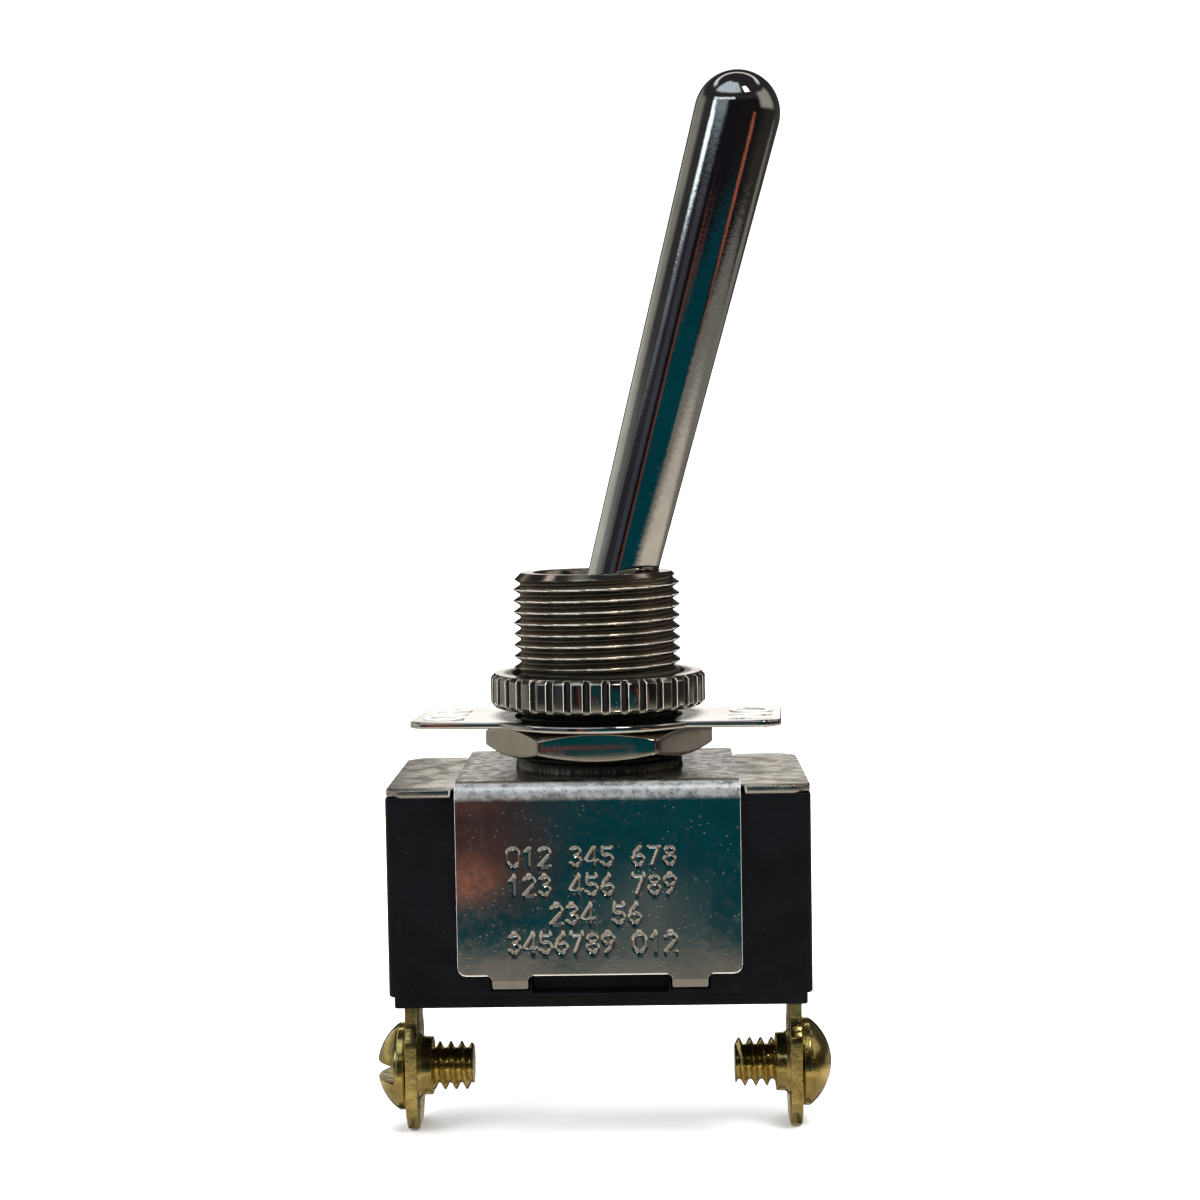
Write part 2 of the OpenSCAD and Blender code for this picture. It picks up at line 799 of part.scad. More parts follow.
module fixed_contact() {
    color("lightgray")
        translate([-contact_reach, 0, arm_top])
            cylinder(d = contact_d, h = contact_z - run_fit - arm_top, $fn = 48);
}

module rocker_pin() {
    color("goldenrod")
        at_rocker()
            disc_y(rocker_pin_d / 2, 2 * (chamber_half - rocker_pin_gap));
}

// ---- Terminals and screws ----

// Side view of a block with one round corner, above on its right
module round_corner(x0, z0, x1, z1, r) {
    translate([x0, z0])
        square([x1 - r - x0, z1 - z0]);
    translate([x0, z0])
        square([x1 - x0, z1 - r - z0]);
    translate([x1 - r, z1 - r])
        circle(r);
}

// A terminal for the +X side: its arm from arm_end on, neck, pad and tapped collar
module blade(arm_end) {
    in_x = blade_x - blade_t;
    // Bent strip: an arm on the floor turned down through the foot
    rotate([90, 0, 0])
        linear_extrude(neck_w, center = true)
            difference() {
                round_corner(arm_end, pad_top, blade_x, arm_top, blade_bend_r + blade_t);
                round_corner(arm_end - cut, pad_top - cut, in_x, arm_top - blade_t, blade_bend_r);
            }
    translate([in_x, 0, 0])
        difference() {
            union() {
                rotate([90, 0, 90])
                    linear_extrude(blade_t)
                        polygon([
                            [-neck_w / 2, pad_top], [-pad_w / 2, pad_top - pad_shoulder],
                            [-pad_w / 2, pad_low + pad_chamfer], [pad_chamfer - pad_w / 2, pad_low],
                            [pad_w / 2 - pad_chamfer, pad_low], [pad_w / 2, pad_low + pad_chamfer],
                            [pad_w / 2, pad_top - pad_shoulder], [neck_w / 2, pad_top],
                            [neck_w / 2, pad_top + lap], [-neck_w / 2, pad_top + lap]
                        ]);
                translate([-collar_len, 0, screw_z])
                    rotate([0, 90, 0])
                        cylinder(d = collar_d, h = collar_len + lap);
            }
            translate([-collar_len - cut, 0, screw_z])
                rotate([0, 90, 0])
                    cylinder(d = screw_d + 2 * run_fit, h = collar_len + blade_t + 2 * cut);
        }
}

module left_terminal() {
    color("goldenrod")
        at_end(-1)
            blade(contact_reach - contact_d / 2 - contact_margin);
}

module right_terminal() {
    ear_in = rocker_w / 2 + run_fit + strip_t + side_clear;
    ear_out = ear_in + blade_t;
    ear_r = rocker_pin_d / 2 + ear_wall;
    color("goldenrod")
        difference() {
            union() {
                blade(-ear_r);
                box([-ear_r, -ear_out, arm_top - blade_t], [ear_r, ear_out, arm_top]);
                // Ears that carry the rocker's pin
                for (side = [-1, 1])
                    at_face(side) {
                        box([-ear_r, ear_in, arm_top - blade_t], [ear_r, ear_out, rocker_z]);
                        translate([0, ear_in + blade_t / 2, rocker_z])
                            disc_y(ear_r, blade_t);
                    }
            }
            at_rocker()
                disc_y(rocker_pin_d / 2, 4 * rocker_w);
        }
}

// A slotted binding-head screw along +Z, with the underside of its head at 0
module wire_screw(turn) {
    dome = head_h - head_rim;
    dome_r = (pow(head_d / 2, 2) + pow(dome, 2)) / (2 * dome);
    difference() {
        union() {
            intersection() {
                cylinder(d = head_d, h = head_h);
                translate([0, 0, head_h - dome_r])
                    sphere(dome_r);
            }
            translate([0, 0, -screw_len])
                cylinder(d = screw_d, h = screw_len + lap);
        }
        rotate([0, 0, turn])
            box([-slot_w / 2, -head_d, head_h - slot_depth], [slot_w / 2, head_d, head_h + cut]);
    }
}

module left_screw() {
    color("gold")
        translate([-head_x, 0, screw_z])
            rotate([0, -90, 0])
                wire_screw(0);
}

module right_screw() {
    color("gold")
        translate([head_x, 0, screw_z])
            rotate([0, 90, 0])
                wire_screw(right_slot_turn);
}

case();
barrier();
cover_plate();
frame();
bushing();
lever();
lever_pin();
plunger();
plunger_spring();
rocker();
contact_strip();
moving_contact();
fixed_contact();
rocker_pin();
left_terminal();
right_terminal();
left_screw();
right_screw();
hex_nut();
label_plate();
knurled_nut();
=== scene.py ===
import json
import math

import bmesh
import bpy
import numpy as np
from mathutils import Matrix, Vector
from mathutils.geometry import tessellate_polygon


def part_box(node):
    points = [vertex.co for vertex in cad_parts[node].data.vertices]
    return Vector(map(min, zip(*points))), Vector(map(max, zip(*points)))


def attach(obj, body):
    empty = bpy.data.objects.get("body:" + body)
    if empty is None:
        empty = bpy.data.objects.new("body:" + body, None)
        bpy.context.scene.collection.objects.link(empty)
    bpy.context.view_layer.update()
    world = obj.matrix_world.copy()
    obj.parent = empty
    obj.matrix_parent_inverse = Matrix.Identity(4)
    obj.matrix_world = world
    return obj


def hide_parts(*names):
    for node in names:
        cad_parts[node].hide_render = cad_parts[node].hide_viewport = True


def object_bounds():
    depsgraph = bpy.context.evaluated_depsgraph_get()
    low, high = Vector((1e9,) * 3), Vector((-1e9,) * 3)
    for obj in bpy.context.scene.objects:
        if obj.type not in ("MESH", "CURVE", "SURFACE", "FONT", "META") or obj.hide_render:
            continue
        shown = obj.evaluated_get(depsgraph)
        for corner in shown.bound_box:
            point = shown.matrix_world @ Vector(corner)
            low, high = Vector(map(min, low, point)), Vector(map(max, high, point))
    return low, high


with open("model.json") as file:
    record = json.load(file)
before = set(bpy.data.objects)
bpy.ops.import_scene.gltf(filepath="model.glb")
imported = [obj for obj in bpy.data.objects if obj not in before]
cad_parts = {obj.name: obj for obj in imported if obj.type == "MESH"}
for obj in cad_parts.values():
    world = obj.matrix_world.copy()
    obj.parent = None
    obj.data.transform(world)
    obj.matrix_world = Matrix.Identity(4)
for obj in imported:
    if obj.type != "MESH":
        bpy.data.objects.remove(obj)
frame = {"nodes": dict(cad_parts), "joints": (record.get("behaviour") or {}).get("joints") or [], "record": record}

bl_info = {
    "name": "Panel toggle switch looks",
    "version": (1, 0, 0),
    "blender": (4, 5, 0),
    "location": "3D View > Sidebar > Toggle Switch",
    "description": "Dresses the packed toggle switch in turned, folded and moulded surfaces with their finishes",
    "category": "Object",
}

CAD_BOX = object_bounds()
JOINTS = {j["name"]: j for j in frame["joints"]}
TAU = 2 * math.pi


# ---- Places read from the packed model, in millimetres ----

def span(node):
    """Lowest and highest corner of a packed node, in millimetres."""
    low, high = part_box(node)
    return np.array(low) * 1000, np.array(high) * 1000


def joint_point(name):
    """The point that a joint turns about, in millimetres."""
    return np.array(JOINTS[name]["pos_m"]) * 1000


PIVOT = joint_point("lever_throw")
LEAN = math.radians(-JOINTS["lever_throw"]["range_deg"][0] / 2)
BUSH_LOW, BUSH_HIGH = span("bushing")
COVER_LOW, COVER_HIGH = span("cover_plate")
STRAP_LOW, STRAP_HIGH = span("frame")
CASE_LOW, CASE_HIGH = span("case")
HEX_LOW, HEX_HIGH = span("hex_nut")
KNURL_LOW, KNURL_HIGH = span("knurled_nut")
LABEL_LOW, LABEL_HIGH = span("label_plate")
BLADE_LOW, BLADE_HIGH = span("right_terminal")
SCREW_LOW, SCREW_HIGH = span("right_screw")
THREAD_R = frame["record"]["mounts"][0].get("radius_m", 0.005953) * 1000


# ---- Fixed sizes, in millimetres ----

BORE_R = THREAD_R + 0.05        # bore of each piece that stands on the bushing
SEAT_R = 4.25                   # seat of the lever's ball in the bushing
TAB_PLACE = 6.175               # middle of the case's notch for a frame tab
NOTCH_LOW, NOTCH_HIGH = -17.55, -16.6
RECESS_TOP = -15.45             # upper edge of the case's recess
WORD_PLACE = 10.75              # middle of a raised word
TAP_R = 1.62                    # tapped hole of a terminal
BEND_R, BEND_INNER_R = 1.15, 0.3    # a terminal's bend, outside and inside
BLADE_TOP, STRIP_LOW = -18.2, -18.3     # where a terminal's blade and its bent strip overlap
EAR_R, EAR_HOLE_R = 1.65, 0.75  # the rocker's ears and the hole for its pin
EAR_IN, EAR_OUT = 2.45, 3.3     # the two faces of an ear
SHANK_R, SCREW_THREAD = 1.75, 0.47      # a wire screw's shank and the depth of its thread
DIGIT_HEIGHT = 1.25
# Stamped rows: the text, its left end and its base line
STAMPED_ROWS = [
    ("012 345 678", -6.2, -8.92), ("123 456 789", -6.2, -10.92), ("234 56", -3.3, -12.92),
    ("3456789 012", -6.2, -14.92),
]


# ---- Settings that a user would change ----

def length(label, words, value):
    """A length setting, given in millimetres and kept in metres."""
    return bpy.props.FloatProperty(name=label, description=words, default=value / 1000, unit="LENGTH",
        subtype="DISTANCE", precision=5)


def tint(label, words, value):
    """A colour setting, in linear red, green and blue."""
    return bpy.props.FloatVectorProperty(name=label, description=words, default=value, subtype="COLOR", size=3,
        min=0, max=1)


def amount(label, words, value):
    """A plain number from nought to one."""
    return bpy.props.FloatProperty(name=label, description=words, default=value, min=0, max=1)


class LeverSettings(bpy.types.PropertyGroup):
    """The bat handle."""
    tip_radius: length("Tip radius", "Radius of the round tip", 3.05)
    neck_radius: length("Neck radius", "Radius where the handle leaves the ball", 2.35)
    ball_radius: length("Ball radius", "Radius of the pivot ball", 4.2)
    tail_radius: length("Tail radius", "Radius of the tail below the ball", 2.2)
    tail_length: length("Tail length", "Length of the tail below the pivot", 10.6)
    bore_radius: length("Bore radius", "Radius of the plunger's bore in the tail", 1.3)
    chrome: tint("Chrome", "Colour of the chrome plating", (0.60, 0.60, 0.61))
    haze: amount("Haze", "Roughness of the polished chrome", 0.045)


class BushingSettings(bpy.types.PropertyGroup):
    """The threaded bushing."""
    pitch: length("Thread pitch", "Distance from crest to crest", 0.794)
    depth: length("Thread depth", "Height of the thread", 0.47)
    lead: length("Thread start", "Height at which the thread passes the ON side", 0.41)
    chamfer: length("Chamfer", "Chamfer on the open end", 0.55)
    mouth_radius: length("Mouth radius", "Inner radius of the open end", 4.54)
    lip_radius: length("Lip radius", "Radius of the lip over the ball", 3.37)
    lip_rise: length("Lip height", "Height of the lip above the pivot", 3.0)
    key_width: length("Keyway width", "Width of the keyway at the back", 1.8)
    key_depth: length("Keyway depth", "Depth of the keyway", 0.75)
    nickel: tint("Nickel", "Colour of the bushing's plating", (0.46, 0.42, 0.355))


class NutSettings(bpy.types.PropertyGroup):
    """The hex nut and the knurled ring nut."""
    flutes: bpy.props.IntProperty(name="Flutes", description="Flutes round the ring nut", default=36, min=12,
        max=60)
    flute_radius: length("Flute radius", "Radius of the cutter that leaves a flute", 0.25)
    bevel: length("Bevel", "Bevel on the ring nut's rims", 0.3)
    hex_bevel: bpy.props.FloatProperty(name="Hex bevel", description="Angle turned on the hex nut's faces",
        default=math.radians(24), subtype="ANGLE")
    hex_inset: length("Hex inset", "Inset of the flat face's edge from the flats", 0.35)
    nickel: tint("Nickel", "Colour of the nuts' plating", (0.70, 0.66, 0.585))


class LabelSettings(bpy.types.PropertyGroup):
    """The ON-OFF plate."""
    tab_width: length("Tab width", "Width of the plate's tabs", 9.85)
    disc_radius: length("Disc radius", "Radius of the plate's round middle", 8.2)
    chamfer: length("Chamfer", "Chamfer on the tabs' corners", 1.0)
    turn: bpy.props.FloatProperty(name="Turn", description="Turn of the plate within the play of its key",
        default=math.radians(-3.5), subtype="ANGLE")
    tab_reach: length("Tab reach", "Half the length over both tabs", 13.1)
    letter_height: length("Letter height", "Height of the raised letters", 3.1)
    relief: length("Relief", "Height of the letters above the plate", 0.09)
    nickel: tint("Nickel", "Colour of the plate's plating", (0.95, 0.935, 0.90))


class StrapSettings(bpy.types.PropertyGroup):
    """The folded steel frame."""
    bend_radius: length("Bend radius", "Outside radius of the two bends", 1.0)
    corner_radius: length("Corner radius", "Radius of the legs' lower corners", 0.6)
    tab_width: length("Tab width", "Width of each crimped tab", 2.45)
    tab_pitch: length("Tab pitch", "Distance between a leg's two tabs", 12.35)
    tab_length: length("Tab length", "Length of the tabs below the leg", 1.0)
    root_radius: length("Root radius", "Radius at the root of each tab", 0.35)
    crimp: length("Crimp", "Distance by which the tabs' ends are pressed in", 0.4)
    sheet: length("Sheet", "Thickness of the sheet", 0.5)
    stamp_depth: length("Stamp depth", "Depth of the stamped digits", 0.07)
    stamp_width: length("Stamp width", "Width of the stamped strokes", 0.13)
    steel: tint("Steel", "Colour of the polished steel", (0.62, 0.60, 0.575))


class CoverSettings(bpy.types.PropertyGroup):
    """The cover plate over the case."""
    chamfer: length("Chamfer", "Chamfer on the corners", 1.0)
    notch_half: length("Notch half width", "Half the width of the notches for the frame", 10.02)
    notch_depth: length("Notch depth", "Depth of the notches", 0.82)
    steel: tint("Steel", "Colour of the satin steel", (0.70, 0.68, 0.635))


class CaseSettings(bpy.types.PropertyGroup):
    """The moulded case."""
    edge_radius: length("Edge radius", "Radius of the upright edges", 0.6)
    foot_height: length("Foot height", "Height of the foot", 0.85)
    foot_inset: length("Foot inset", "Inset of the foot", 0.35)
    recess_half: length("Recess half width", "Half the width of the recess between the tabs", 4.65)
    recess_depth: length("Recess depth", "Depth of the recess", 0.8)
    recess_rise: length("Recess height", "Height of the recess above the bottom", 1.1)
    pad_half: length("Pad half width", "Half the width of the pad under the case", 4.55)
    phenolic: tint("Phenolic", "Colour of the moulding", (0.0022, 0.0023, 0.0036))


class TerminalSettings(bpy.types.PropertyGroup):
    """The blade terminals and their screws."""
    blade: length("Blade", "Thickness of the brass", 0.85)
    neck_half: length("Neck half width", "Half the width of the necks", 2.45)
    pad_half: length("Pad half width", "Half the width of the pads", 3.2)
    pad_length: length("Pad length", "Length of the pads", 7.5)
    shoulder: length("Shoulder", "Slope of the pads' shoulders", 0.7)
    chamfer: length("Chamfer", "Chamfer on the pads' lower corners", 1.6)
    collar_radius: length("Collar radius", "Radius of the tapped collar", 2.125)
    collar_length: length("Collar length", "Length of the tapped collar", 0.95)
    pitch: length("Screw pitch", "Pitch of the screws' thread", 0.794)
    head_radius: length("Head radius", "Radius of the screws' heads", 3.15)
    head_height: length("Head height", "Height of the screws' heads", 2.15)
    rim_height: length("Rim height", "Height of the heads' straight rims", 0.5)
    slot_width: length("Slot width", "Width of the driver slots", 1.25)
    slot_depth: length("Slot depth", "Depth of the driver slots", 1.4)
    brass: tint("Brass", "Colour of the brass", (0.66, 0.51, 0.18))


class StageSettings(bpy.types.PropertyGroup):
    """The pale floor, the light and the camera."""
    floor: tint("Floor", "Colour of the floor", (0.86, 0.86, 0.86))
    lens: bpy.props.FloatProperty(name="Lens", description="Focal length in millimetres on a 36 mm sensor",
        default=69.76, min=10, max=300)


SETTINGS = {
    "lever": LeverSettings, "bushing": BushingSettings, "nuts": NutSettings, "label": LabelSettings,
    "strap": StrapSettings, "cover": CoverSettings, "case": CaseSettings, "terminals": TerminalSettings,
    "stage": StageSettings,
}


def mm(settings, *names):
    """The named length settings, in millimetres."""
    values = [getattr(settings, n) * 1000 for n in names]
    return values[0] if len(values) == 1 else values


# ---- Surfaces ----

def soften(corners, radius, steps=4, closed=True):
    """Rounds a chain of corners. Each corner gives way to a parabola that starts and ends on its two sides,
    at the radius from it or at 0.45 of a shorter side. The corners' array may have more axes after the first."""
    before, after = np.roll(corners, 1, 0) - corners, np.roll(corners, -1, 0) - corners
    size_b = np.linalg.norm(before, axis=-1, keepdims=True) + 1e-12
    size_a = np.linalg.norm(after, axis=-1, keepdims=True) + 1e-12
    radius = np.asarray(radius, float).reshape((-1,) + (1,) * (corners.ndim - 1)) if np.ndim(radius) else radius
    start = corners + before / size_b * np.minimum(radius, 0.45 * size_b)
    end = corners + after / size_a * np.minimum(radius, 0.45 * size_a)
    t = np.linspace(0, 1, steps + 1).reshape((1, -1) + (1,) * (corners.ndim - 1))
    curve = (1 - t) ** 2 * start[:, None] + 2 * t * (1 - t) * corners[:, None] + t ** 2 * end[:, None]
    curve = curve.reshape((-1,) + corners.shape[1:])
    if closed:
        return curve
    return np.concatenate([corners[:1], curve[steps + 1:-steps - 1], corners[-1:]])


def arc(centre, radius, start, end, count):
    """Points on a circle from one angle to another, in degrees."""
    a = np.radians(np.linspace(start, end, count))
    return np.stack([centre[0] + radius * np.cos(a), centre[1] + radius * np.sin(a)], -1)


def turned(profile, angles):
    """A profile of radius and height, shaped (rows, 2) or (rows, columns, 2), carried round the Z axis."""
    profile = profile[:, None] if profile.ndim == 2 else profile
    r, z = np.broadcast_arrays(profile[..., 0], profile[..., 1] + 0 * angles)
    r = np.broadcast_to(r, z.shape)
    return np.stack([r * np.cos(angles), r * np.sin(angles), z], -1)


def placed(points, matrix):
    """Points carried by a 4 by 4 matrix."""
    m = np.array(matrix)
    return points @ m[:3, :3].T + m[:3, 3]


def thread(z, angle, radius, depth, pitch, crest=0.10, root=0.16, lift=0.0):
    """Radius of a right-handed thread at a height and angle: along a pitch it falls in two straight flanks
    from a flat crest to a flat root, and the whole pattern climbs a pitch in a turn."""
    phase = (z - lift) / pitch - angle / TAU
    t = 2 * np.abs(phase - np.round(phase))
    return radius - depth * np.clip((t - crest) / (1 - crest - root), 0, 1)


def step(x, edge, width):
    """Climbs smoothly from 0 to 1 as x passes an edge, over a width."""
    t = np.clip((x - edge) / width + 0.5, 0, 1)
    return t * t * (3 - 2 * t)


def band(x, low, high, width):
    """1 between two edges and 0 outside them, with soft shoulders."""
    return step(x, low, width) * (1 - step(x, high, width))


class Shape:
    """Gathers grids and caps, in millimetres, and puts them into one mesh."""

    def __init__(self):
        self.points, self.faces, self.tones, self.count = [], [], [], 0

    def grid(self, points, wrap_rows=False, wrap_columns=False, tone=0.0):
        """A grid of points, shaped (rows, columns, 3), as quads. Its last row or column may join its first.
        The tone says at each point how sunk and dull the surface is, up to 1, or how worn, down to -1."""
        rows, columns = points.shape[:2]
        i, j = np.meshgrid(np.arange(rows - (not wrap_rows)), np.arange(columns - (not wrap_columns)),
            indexing="ij")
        k, m = (i + 1) % rows, (j + 1) % columns
        quads = np.stack([i * columns + j, i * columns + m, k * columns + m, k * columns + j], -1).reshape(-1,
            4)
        self.points.append(points.reshape(-1, 3))
        self.tones.append(np.broadcast_to(tone, (rows, columns)).ravel())
        self.faces += (quads + self.count).tolist()
        self.count += rows * columns
        return self

    def cap(self, loops):
        """A flat face bounded by loops of points, the first outside and the rest round its holes."""
        triangles = np.array(tessellate_polygon([[Vector(p) for p in loop] for loop in loops]))
        self.points.append(np.concatenate(loops))
        self.tones.append(np.zeros(len(self.points[-1])))
        self.faces += (triangles + self.count).tolist()
        self.count += sum(len(loop) for loop in loops)
        return self

    def sheet(self, outline, holes, low, high, edge, place=None, steps=3):
        """A flat sheet between two heights. Each loop's wall is a profile carried along it: a quarter round
        of the edge's radius above and below a straight band, moved along the loop's mitred normals."""
        place = np.eye(4) if place is None else np.array(place)
        t = np.linspace(0, math.pi / 2, steps + 1)
        inset = np.concatenate([edge * (1 - np.sin(t)), edge * (1 - np.sin(t))[::-1]])
        height = np.concatenate([high - edge * (1 - np.cos(t)), low + edge * (1 - np.cos(t))[::-1]])
        tops, lows = [], []
        for number, loop in enumerate([outline, *holes]):
            loop = np.asarray(loop, float)
            ahead, behind = np.roll(loop, -1, 0) - loop, loop - np.roll(loop, 1, 0)
            ahead /= np.linalg.norm(ahead, axis=1, keepdims=True)
            behind /= np.linalg.norm(behind, axis=1, keepdims=True)
            x, y = loop[:, 0], loop[:, 1]
            turn = np.sign(np.sum(x * np.roll(y, -1) - y * np.roll(x, -1))) * (-1 if number else 1)
            n = turn * np.stack([-(ahead + behind)[:, 1], (ahead + behind)[:, 0]], -1)
            n = n / np.maximum(np.sum(n * turn * np.stack([-ahead[:, 1], ahead[:, 0]], -1), 1, keepdims=True),
                0.4)
            flat = loop[None] + n[None] * inset[:, None, None]
            wall = np.concatenate([flat, np.broadcast_to(height[:, None, None], flat.shape[:2] + (1,))], -1)
            wall = placed(wall, place)
            self.grid(wall, wrap_columns=True)
            tops.append(wall[0])
            lows.append(wall[-1])
        return self.cap(tops).cap(lows)

    def piece(self, name, body, slot, material, nodes=(), smooth=32):
        """Makes the object: doubles merged, faces outward, smooth but for edges sharper than an angle."""
        mesh = bpy.data.meshes.new(name)
        mesh.from_pydata((np.concatenate(self.points) / 1000).tolist(), [], self.faces)
        tone = mesh.attributes.new("tone", "FLOAT", "POINT")
        tone.data.foreach_set("value", np.concatenate(self.tones).astype(np.float32))
        work = bmesh.new()
        work.from_mesh(mesh)
        bmesh.ops.remove_doubles(work, verts=work.verts, dist=2e-7)
        bmesh.ops.dissolve_degenerate(work, edges=work.edges, dist=1e-7)
        bmesh.ops.recalc_face_normals(work, faces=work.faces)
        work.to_mesh(mesh)
        work.free()
        mesh.shade_smooth()
        mesh.set_sharp_from_angle(angle=math.radians(smooth))
        obj = bpy.data.objects.new(name, mesh)
        bpy.context.scene.collection.objects.link(obj)
        mesh.materials.append(material)
        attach(obj, body)
        if nodes:
            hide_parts(*nodes)
        return obj


# ---- Shader maths ----

class Value:
    """A number that varies over a surface. Sums and products of values add Math nodes."""

    def __init__(self, tree, socket):
        self.tree, self.socket = tree, socket

    def math(self, operation, *others):
        return self.tree.node("ShaderNodeMath", {"operation": operation}, dict(enumerate((self, *others))))

    def __add__(self, other):
        return self.math("ADD", other)

    def __sub__(self, other):
        return self.math("SUBTRACT", other)

    def __rsub__(self, other):
        return self.tree.node("ShaderNodeMath", {"operation": "SUBTRACT"}, {0: other, 1: self})

    def __mul__(self, other):
        return self.math("MULTIPLY", other)

    def __neg__(self):
        return self.math("MULTIPLY", -1.0)

    __radd__, __rmul__ = __add__, __mul__

    def range(self, low, high, to_low=0.0, to_high=1.0):
        """This value carried smoothly from one range to another."""
        settings = {"interpolation_type": "SMOOTHSTEP"}
        return self.tree.node("ShaderNodeMapRange", settings,
            {"Value": self, "From Min": low, "From Max": high, "To Min": to_low, "To Max": to_high})


class Tree:
    """A node tree and the one method that adds its nodes."""

    def __init__(self, node_tree):
        self.nodes, self.links = node_tree.nodes, node_tree.links

    def node(self, kind, settings=None, inputs=None, output=0):
        """Adds a node of a type: its settings first, then the values or links of its sockets."""
        made = self.nodes.new(kind)
        for key, value in (settings or {}).items():
            setattr(made, key, value)
        for key, value in (inputs or {}).items():
            socket = made.inputs[key]
            if isinstance(value, Value):
                self.links.new(value.socket, socket)
            elif socket.type == "RGBA" and np.ndim(value) and len(value) == 3:
                socket.default_value = (*value, 1.0)
            else:
                socket.default_value = value
        return Value(self, made.outputs[output])

    def mix(self, factor, a, b, blend="MIX"):
        """Two colours mixed by a factor."""
        return self.node("ShaderNodeMix", {"data_type": "RGBA", "blend_type": blend}, {0: factor, 6: a, 7: b},
            output=2)

    def position(self, scale=(1, 1, 1), turn=(0, 0, 0)):
        """Object coordinates in metres, turned and stretched."""
        raw = self.node("ShaderNodeTexCoord", output=3)
        return self.node("ShaderNodeMapping", {"vector_type": "POINT"},
            {"Vector": raw, "Scale": scale, "Rotation": turn})

    def tone(self):
        """The piece's own tone: 1 where it is sunk and dull, 0 where it is plain, -1 on a worn bright edge."""
        return self.node("ShaderNodeAttribute", {"attribute_name": "tone"}, output=2)

    def reach(self):
        """Distance from the bushing's axis, in millimetres."""
        flat = self.node("ShaderNodeVectorMath", {"operation": "MULTIPLY"},
            {0: self.position(), 1: (1000, 1000, 0)})
        return self.node("ShaderNodeVectorMath", {"operation": "LENGTH"}, {0: flat}, output=1)

    def place(self, axis):
        """Distance along an axis, in millimetres."""
        return self.node("ShaderNodeSeparateXYZ", None, {0: self.position()}, output=axis) * 1000

    def noise(self, where, scale, detail=3.0, rough=0.55, distortion=0.0):
        """A cloudy pattern from 0 to 1."""
        return self.node("ShaderNodeTexNoise", None, {"Vector": where, "Scale": scale, "Detail": detail,
            "Roughness": rough, "Distortion": distortion})

    def specks(self, where, scale, size, softness=0.06):
        """Scattered round specks: 1 in the middle of a share of the cells of a Voronoi pattern."""
        near = self.node("ShaderNodeTexVoronoi", {"feature": "F1"},
            {"Vector": where, "Scale": scale, "Randomness": 1.0})
        return near.range(size, size + softness, 1.0, 0.0)

    def bump(self, height, strength, distance):
        """A normal tilted by a height that varies over the surface."""
        return self.node("ShaderNodeBump", None, {"Height": height, "Strength": strength, "Distance": distance})


def finish_material(name, build, metallic, **fixed):
    """A material: build gives the varying colour, roughness and normal, and the rest is set on the sockets."""
    material = bpy.data.materials.new(name)
    material.use_nodes = True
    tree = Tree(material.node_tree)
    shader = tree.nodes["Principled BSDF"]
    shader.inputs["Metallic"].default_value = metallic
    for key, value in fixed.items():
        shader.inputs[key.replace("_", " ").title().replace("Ior", "IOR")].default_value = value
    for key, value in build(tree).items():
        if isinstance(value, Value):
            tree.links.new(value.socket, shader.inputs[key])
        else:
            shader.inputs[key].default_value = value
    return material


def plated(name, colour, rough, grain, smudge=0.5, pits=0.25, warm=(0.62, 0.42, 0.22), stain=0.0,
    brush=(1, 1, 1), bump=1.0,
           shade_tint=(0.050, 0.044, 0.036), depth=0.92, shadow_ring=None, peel=0, **fixed):
    """Plated metal: cloudy colour, smudged roughness, fine grain stretched along a direction, pits and warm
    stains. Where its tone is sunk, grime covers it up to the depth, and past 1.05 it turns nearly black.
    A tone below nought is a paler, worn edge. Shaded gives two radii, in millimetres, between which a dark
    oily ring fades. Peel adds fine ripples to the bump."""
    def build(t):
        where = t.position()
        clouds = t.noise(where, 260, 4, 0.6)
        fine = t.noise(t.position(brush), grain, 3, 0.6)
        film = t.noise(where, 620, 5, 0.62, 0.4)
        pit = t.specks(where, 2300, 0.10) * t.noise(where, 500, 2).range(0.45, 0.62)
        shade = t.mix(clouds.range(0.3, 0.7) * 0.8, tuple(c * 0.84 for c in colour),
            tuple(min(c * 1.08, 1) for c in colour))
        if stain:
            shade = t.mix(film.range(0.52, 0.74) * stain, shade, warm)
        shade = t.mix(pit * 0.55 * pits * 2, shade, tuple(c * 0.25 for c in colour))
        # Sunk: painted shade from a positive tone; the pale highlight: painted highlight from a negative tone
        sunk, pale_highlight = t.tone().range(0.15, 0.85), t.tone().range(-0.1, -0.8) * film.range(0.25, 0.55, 0.35, 1.0)
        # Painted shadow ring round the bushing's axis, where the nut above shades the plate
        if shadow_ring:
            sunk = sunk.math("MAXIMUM", 1 - (t.reach() + film * 0.8).range(*shadow_ring))
        # Past 1.05 the tone gives a nearly black painted shadow
        deep = t.tone().range(1.05, 1.5)
        # Painted shade in the shade tint, then the pale painted highlight over it
        skin = t.mix(pale_highlight, t.mix(sunk * depth, shade, shade_tint), (0.90, 0.88, 0.83))
        return {
            "Base Color": t.mix(deep, skin, (0.012, 0.010, 0.008)),
            "Metallic": 1 - pale_highlight * 0.6 - deep * 0.8,
            "Roughness": film.range(0.35, 0.75, rough * (1 - 0.35 * smudge),
                rough * (1 + 0.9 * smudge)) + pit * 0.2 + sunk * 0.22,
            "Normal": t.bump((fine * 0.6 - pit * pits * 2) * bump + (t.noise(where, 2600, 4, 0.65) * peel
                if peel else 0), 0.20, 0.00002),
        }
    return finish_material(name, build, 1.0, **fixed)


